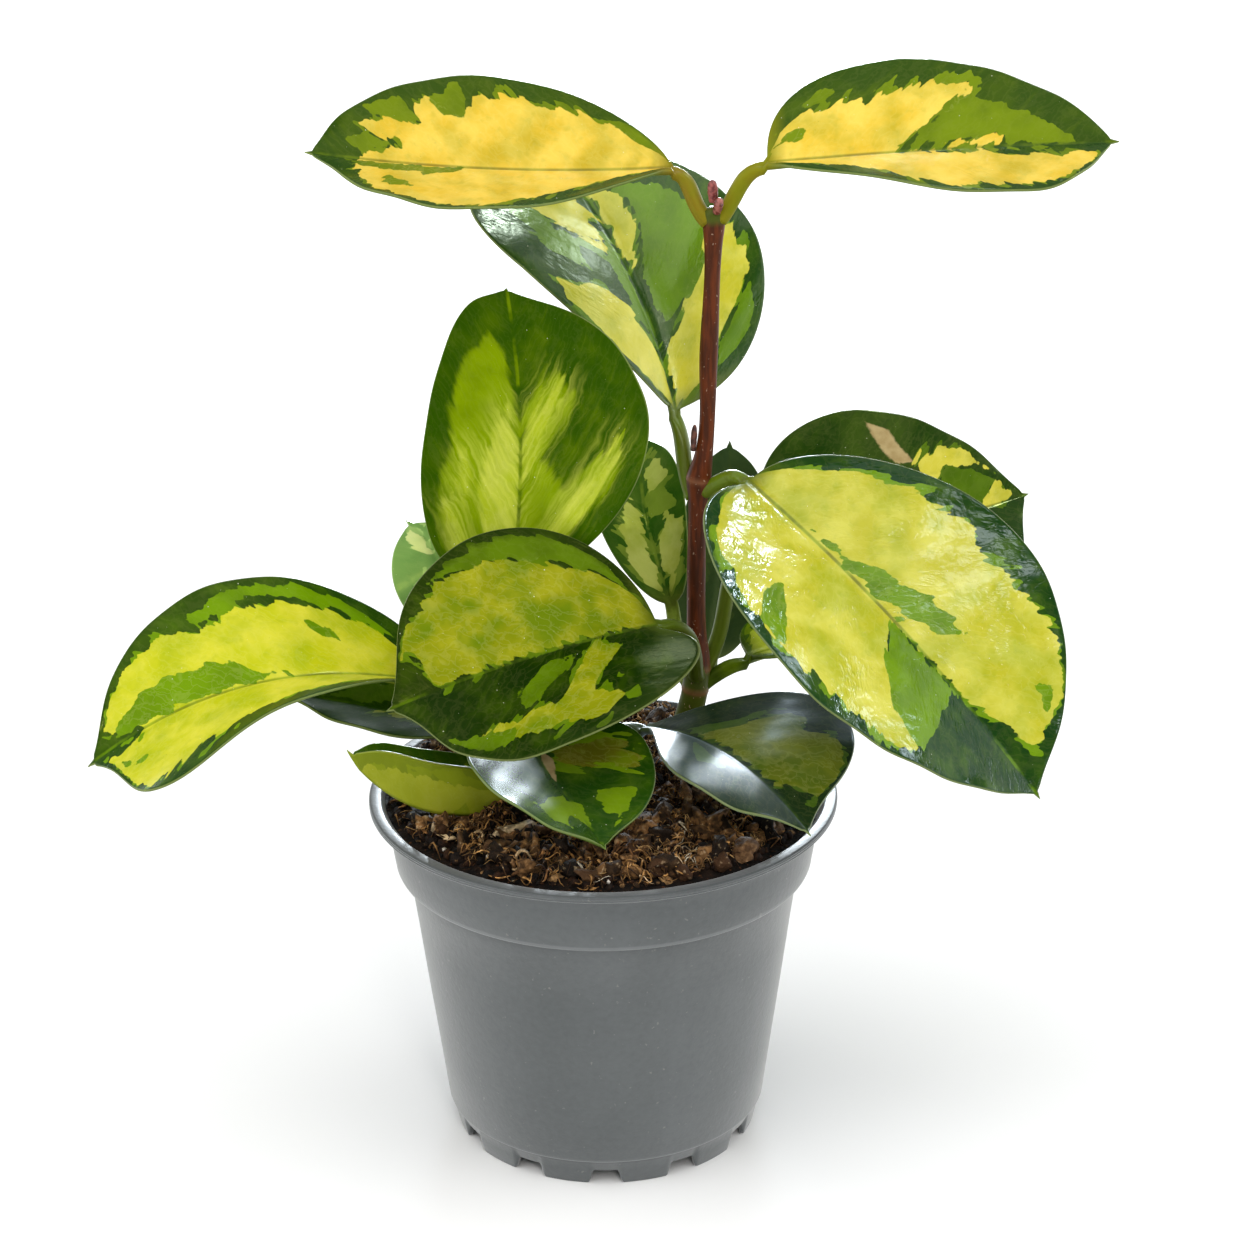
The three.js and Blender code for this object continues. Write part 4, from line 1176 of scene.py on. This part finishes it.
def leaf_fields(leaf, u, v, half, length, upper):
    """What a leaf's material reads at its points: how far they are inside the yellow, the
    bright green and the scar, from the margin and from the midrib, in about millimetres, and
    whether they are underneath or on the stalk."""
    reach = np.array([length, 0.8 * max(leaf["left"], leaf["right"])])
    fields = {
        "yellow": marking(leaf["yellow"], u, v, reach), "bright": marking(leaf["mid"], u, v, reach),
        "scar": marking(leaf["scar"], u, v, SCAR_REACH), "rib": np.abs(v) * half,
        "margin": np.minimum(half * (1 - np.abs(v)), (1 - u) * length + 0.3), "under": 1.0 - upper,
        "stalk": np.clip(1 - u * length / 5, 0, 1),
    }
    on_stalk = {"stalk": 1, "margin": 5, "rib": 5}
    for label, field in fields.items():
        lower = np.repeat(field[:1], STALK_ROWS, 0)
        if label in on_stalk:
            lower = np.full_like(lower, on_stalk[label])
        fields[label] = np.concatenate([lower, field])
    return fields


def leaf_maps(leaf, u, v, half, length, offset):
    """Two maps of a leaf in centimetres: blade runs along and across it, and veins runs back
    along the side veins. The stalk takes the two units before the heel."""
    rib = np.abs(v) * half
    across = np.sign(v) * rib / 10
    slanted = (u * length - leaf["slant"] * rib) / 10
    stalk = np.meshgrid(np.linspace(-2, 0, STALK_ROWS) + offset, np.linspace(0, 1.2, BLADE_AROUND),
        indexing="ij")
    along = {"veins": slanted + offset, "blade": u * length / 10 + offset}
    return {
        label: np.concatenate([np.stack(stalk, -1), np.stack([way, across], -1)])
        for label, way in along.items()
    }


TONES = ("Pale", "Paler", "Bright", "Dark", "Stalk Tone", "Underside")
AMOUNTS = ("Streaks", "Greening", "Softness", "Border", "Pale Over")


def leaf_markings_group():
    """The colours and relief of a waxy variegated leaf. Yellow and Bright say how far a point
    is inside the yellow field and the bright green patches; their edges are cut ragged along
    the side veins. What is in neither is dark green. The margin has a pale thin line, a
    painted highlight on its rounded edge."""
    group, given, result = node_group("leaf_markings",
        {**dict.fromkeys(TONES, "Color"), **dict.fromkeys(AMOUNTS, "Float")},
        {"Color": "Color", "Roughness": "Float", "Height": "Float"})
    n = Nodes(group)
    labels = ("yellow", "bright", "margin", "rib", "under", "stalk", "scar")
    yellow, bright, margin, rib, under, stalk, scar = (n.kept(label) for label in labels)
    pale, paler, green, dark, stalk_tone, underside = (given[label] for label in TONES)
    streaks, greening, softness, border, pale_over = (given[label] for label in AMOUNTS)
    veins, blade = (n.add("UVMap", uv_map=label)[0] for label in ("veins", "blade"))

    streak = n.noise(veins, 1, 2, (2.8, 0.9, 1))
    small = n.noise(blade, 9, 2)
    cloud = n.noise(blade, 1.1, 3)
    patch = n.noise(veins, 1, 2, (2.2, 1.1, 1))
    mottle = n.noise(blade, 3.4, 3)
    ragged = n.swing(small, 0.8, n.swing(streak, 7.0, yellow))
    is_yellow = n.step(ragged, n.times(softness, -1.0), softness)
    bright = n.swing(small, 0.8, n.swing(patch, 6.0, bright))
    is_patch = n.step(bright, n.times(softness, -1.0), softness)
    is_border = n.step(n.swing(patch, 16.0, ragged, 0.47), -0.1, 0.1)

    field = n.lay(pale, paler, n.step(cloud, 0.34, 0.66))
    field = n.lay(field, green, n.step(n.noise(blade, 0.8, 4), 0.42, 0.66), greening)
    field = n.lay(field, green, n.step(mottle, 0.52, 0.74), 0.16)
    deep = n.lay(dark, green, n.step(cloud, 0.4, 0.75), 0.22)
    deep = n.lay(deep, green, n.step(streak, 0.52, 0.75), 0.14)
    lively = n.lay(green, dark, n.step(cloud, 0.38, 0.7), 0.3)
    tone = n.lay(deep, lively, is_border)
    tone = n.lay(tone, field, is_yellow)
    tone = n.lay(tone, lively, is_patch)
    tone = n.lay(tone, field, is_yellow, pale_over)

    bent = n.add("VectorMath", {0: veins, 1: n.add("CombineXYZ", {0: cloud, 1: mottle})[0]})[0]
    fan = n.step(n.noise(bent, 1, 4, (4.4, 0.45, 1)), 0.4, 0.72)
    fan = n.times(fan, n.step(yellow, -9.0, 2.0))
    tone = n.lay(tone, paler, fan, streaks)
    inner = n.swing(streak, border, margin)
    edge = n.rest(n.step(inner, n.times(border, 0.35), border))
    tone = n.lay(tone, dark, edge, 0.55)

    net = n.add("TexVoronoi", {"Vector": bent, "Scale": 3.4}, feature="DISTANCE_TO_EDGE")[0]
    vein = n.rest(n.step(net, 0.0, 0.12))
    tone = n.lay(tone, "E6E48C", vein, n.plus(is_yellow, 0.05, 0.015))
    rib_tone = n.lay(dark, green, n.step(cloud, 0.42, 0.6))
    tone = n.lay(tone, rib_tone, n.rest(n.step(rib, 0.2, 0.7)), 0.6)
    tone = n.lay(tone, dark, n.step(n.noise(blade, 22, 1), 0.77, 0.81), 0.5)
    tone = n.lay(tone, "E8ECD0", n.step(n.noise(blade, 17, 0), 0.87, 0.89), 0.6)
    dry = n.step(n.swing(small, 0.5, scar), -0.1, 0.3)
    tone = n.lay(tone, n.lay("86683E", "C6B286", mottle), dry)
    # A painted highlight: a pale thin line along the rounded margin.
    tone = n.lay(tone, "A3AE6E", n.rest(n.step(margin, 0.05, 0.34)), 0.4)
    tone = n.lay(tone, n.lay(tone, underside, 0.6), under)
    tone = n.lay(tone, n.lay(stalk_tone, green, n.step(cloud, 0.3, 0.7), 0.4), stalk)

    rough = n.plus(stalk, 0.15, n.plus(under, 0.25, n.plus(cloud, 0.12, 0.13)))
    crease = n.noise(veins, 1, 3, (3.2, 1.7, 1))
    crease = n.step(n.sums("ABSOLUTE", n.sums("SUBTRACT", crease, 0.5)), 0.0, 0.12)
    crease = n.times(crease, n.step(n.noise(blade, 0.7, 2), 0.46, 0.66))
    height = n.plus(n.noise(blade, 2.2, 2), 0.1, n.times(n.noise(blade, 14, 2), 0.0006))
    height = n.plus(vein, -0.004, n.plus(crease, 0.035, height))
    feed(group, result, {"Color": tone, "Roughness": rough, "Height": height})
    return group


markings = leaf_markings_group()


def leaf_material(name, leaf):
    """The wax finish of one leaf with its own colours and shine, and on some a faint emission of
    its own colours, painted light that stands in for light let through.
    """
    finish, tree, shader = material(name)
    n = Nodes(tree)
    tones = dict(zip(TONES, map(colour, (*leaf["tones"], leaf["below"]))))
    amounts = {label: leaf[label.lower().replace(" ", "_")] for label in AMOUNTS}
    made = n.add("Group", {**tones, **amounts}, node_tree=markings)
    feed(tree, shader, {
        "Base Color": made["Color"], "Roughness": n.sums("ADD", made["Roughness"], leaf["matte"]),
        "Normal": n.relief(made["Height"], leaf["relief"]), "IOR": leaf["ior"],
        "Specular IOR Level": leaf["shine"], "Specular Tint": colour(leaf["gleam"]),
    })
    if leaf["veil"]:
        feed(tree, shader, {"Sheen Weight": leaf["veil"], "Sheen Roughness": 0.3,
            "Sheen Tint": colour("C4DCF0")})
    # Painted light: the leaf's own colours given out faintly, in place of light let through the blade.
    if leaf["painted_glow"]:
        feed(tree, shader, {"Emission Color": made["Color"], "Emission Strength": leaf["painted_glow"]})
    return finish


for number, (name, own) in enumerate(LEAVES.items()):
    leaf = {**COMMON, **own}
    rings, *shape = leaf_rings(leaf, WAVE_SHIFT * number)
    fields = leaf_fields(leaf, *shape)
    maps = leaf_maps(leaf, *shape[:4], MAP_SHIFT * number)
    tip = np.clip(np.array(leaf["tip"], float) - 0.2 * blade_frame(leaf)[3], *CAD_LIMITS)
    mesh = skin(name + "_blade", np.clip(rings, *CAD_LIMITS), tip, fields, maps)
    finish = leaf_material(name + "_wax", leaf)
    piece(name + "_blade", mesh, finish, name)

# The buds are short points of overlapping scales: two reddish ones at the top of the tall
# stem, between its last two leaves, and a dry brown spur lower down.
BUDS = {  # foot, head and radius, the tones of the scales, and the slot
    "bud_upper": ((28.1, 14.8, 244.2), (27.9, 14.2, 250), 1.5, ("62221F", "9C4E48"), "bud"),
    "bud_lower": ((28.9, 12.8, 242.2), (29.6, 9.6, 246.6), 1.4, ("5E1E1C", "A8645A"), "bud"),
    "dormant_shoot": ((23.3, 17.1, 179), (23.7, 16.3, 186.3), 0.95, ("3A1A12", "6A3A28"), "stem_bark"),
}
BUD_ROWS = 26
BUD_AROUND = 28
SCALE_H = 0.1


def bud_rings(foot, head, radius):
    """Rings from foot to head whose radius swells and closes, with the edges of scales that
    wind round it."""
    foot, head = np.array(foot, float), np.array(head, float)
    t = np.linspace(0.02, 0.99, BUD_ROWS)
    path = foot + t[:, None] * (head - foot)
    outline = radius * (0.65 + 0.6 * t) * np.sqrt(1 - t**2.4)
    rings = tube_rings(path, outline, BUD_AROUND)
    angle = np.linspace(0, 2 * math.pi, BUD_AROUND, endpoint=False)
    scale = 1 + SCALE_H * (((3 * t[:, None] + angle / 2.1) % 1) - 0.5)
    return path[:, None] + (rings - path[:, None]) * scale[..., None]


def bud_group():
    """Mottled scales in two tones, raised where they are paler."""
    group, given, result = node_group("bud_scales", {"Dark": "Color", "Light": "Color"},
        {"Color": "Color", "Height": "Float"})
    n = Nodes(group)
    mottle = n.noise(n.where(), 900, 3)
    tone = n.lay(given["Dark"], given["Light"], n.step(mottle, 0.4, 0.62))
    feed(group, result, {"Color": tone, "Height": n.times(mottle, 0.2)})
    return group


scales = bud_group()
for name, (foot, head, radius, (dark, light), slot) in BUDS.items():
    finish, tree, shader = material(name + "_scales")
    n = Nodes(tree)
    made = n.add("Group", {"Dark": colour(dark), "Light": colour(light)}, node_tree=scales)
    feed(tree, shader, {"Base Color": made["Color"], "Roughness": 0.4,
        "Normal": n.relief(made["Height"])})
    piece(name + "_scales", skin(name + "_scales", bud_rings(foot, head, radius)), finish, name)
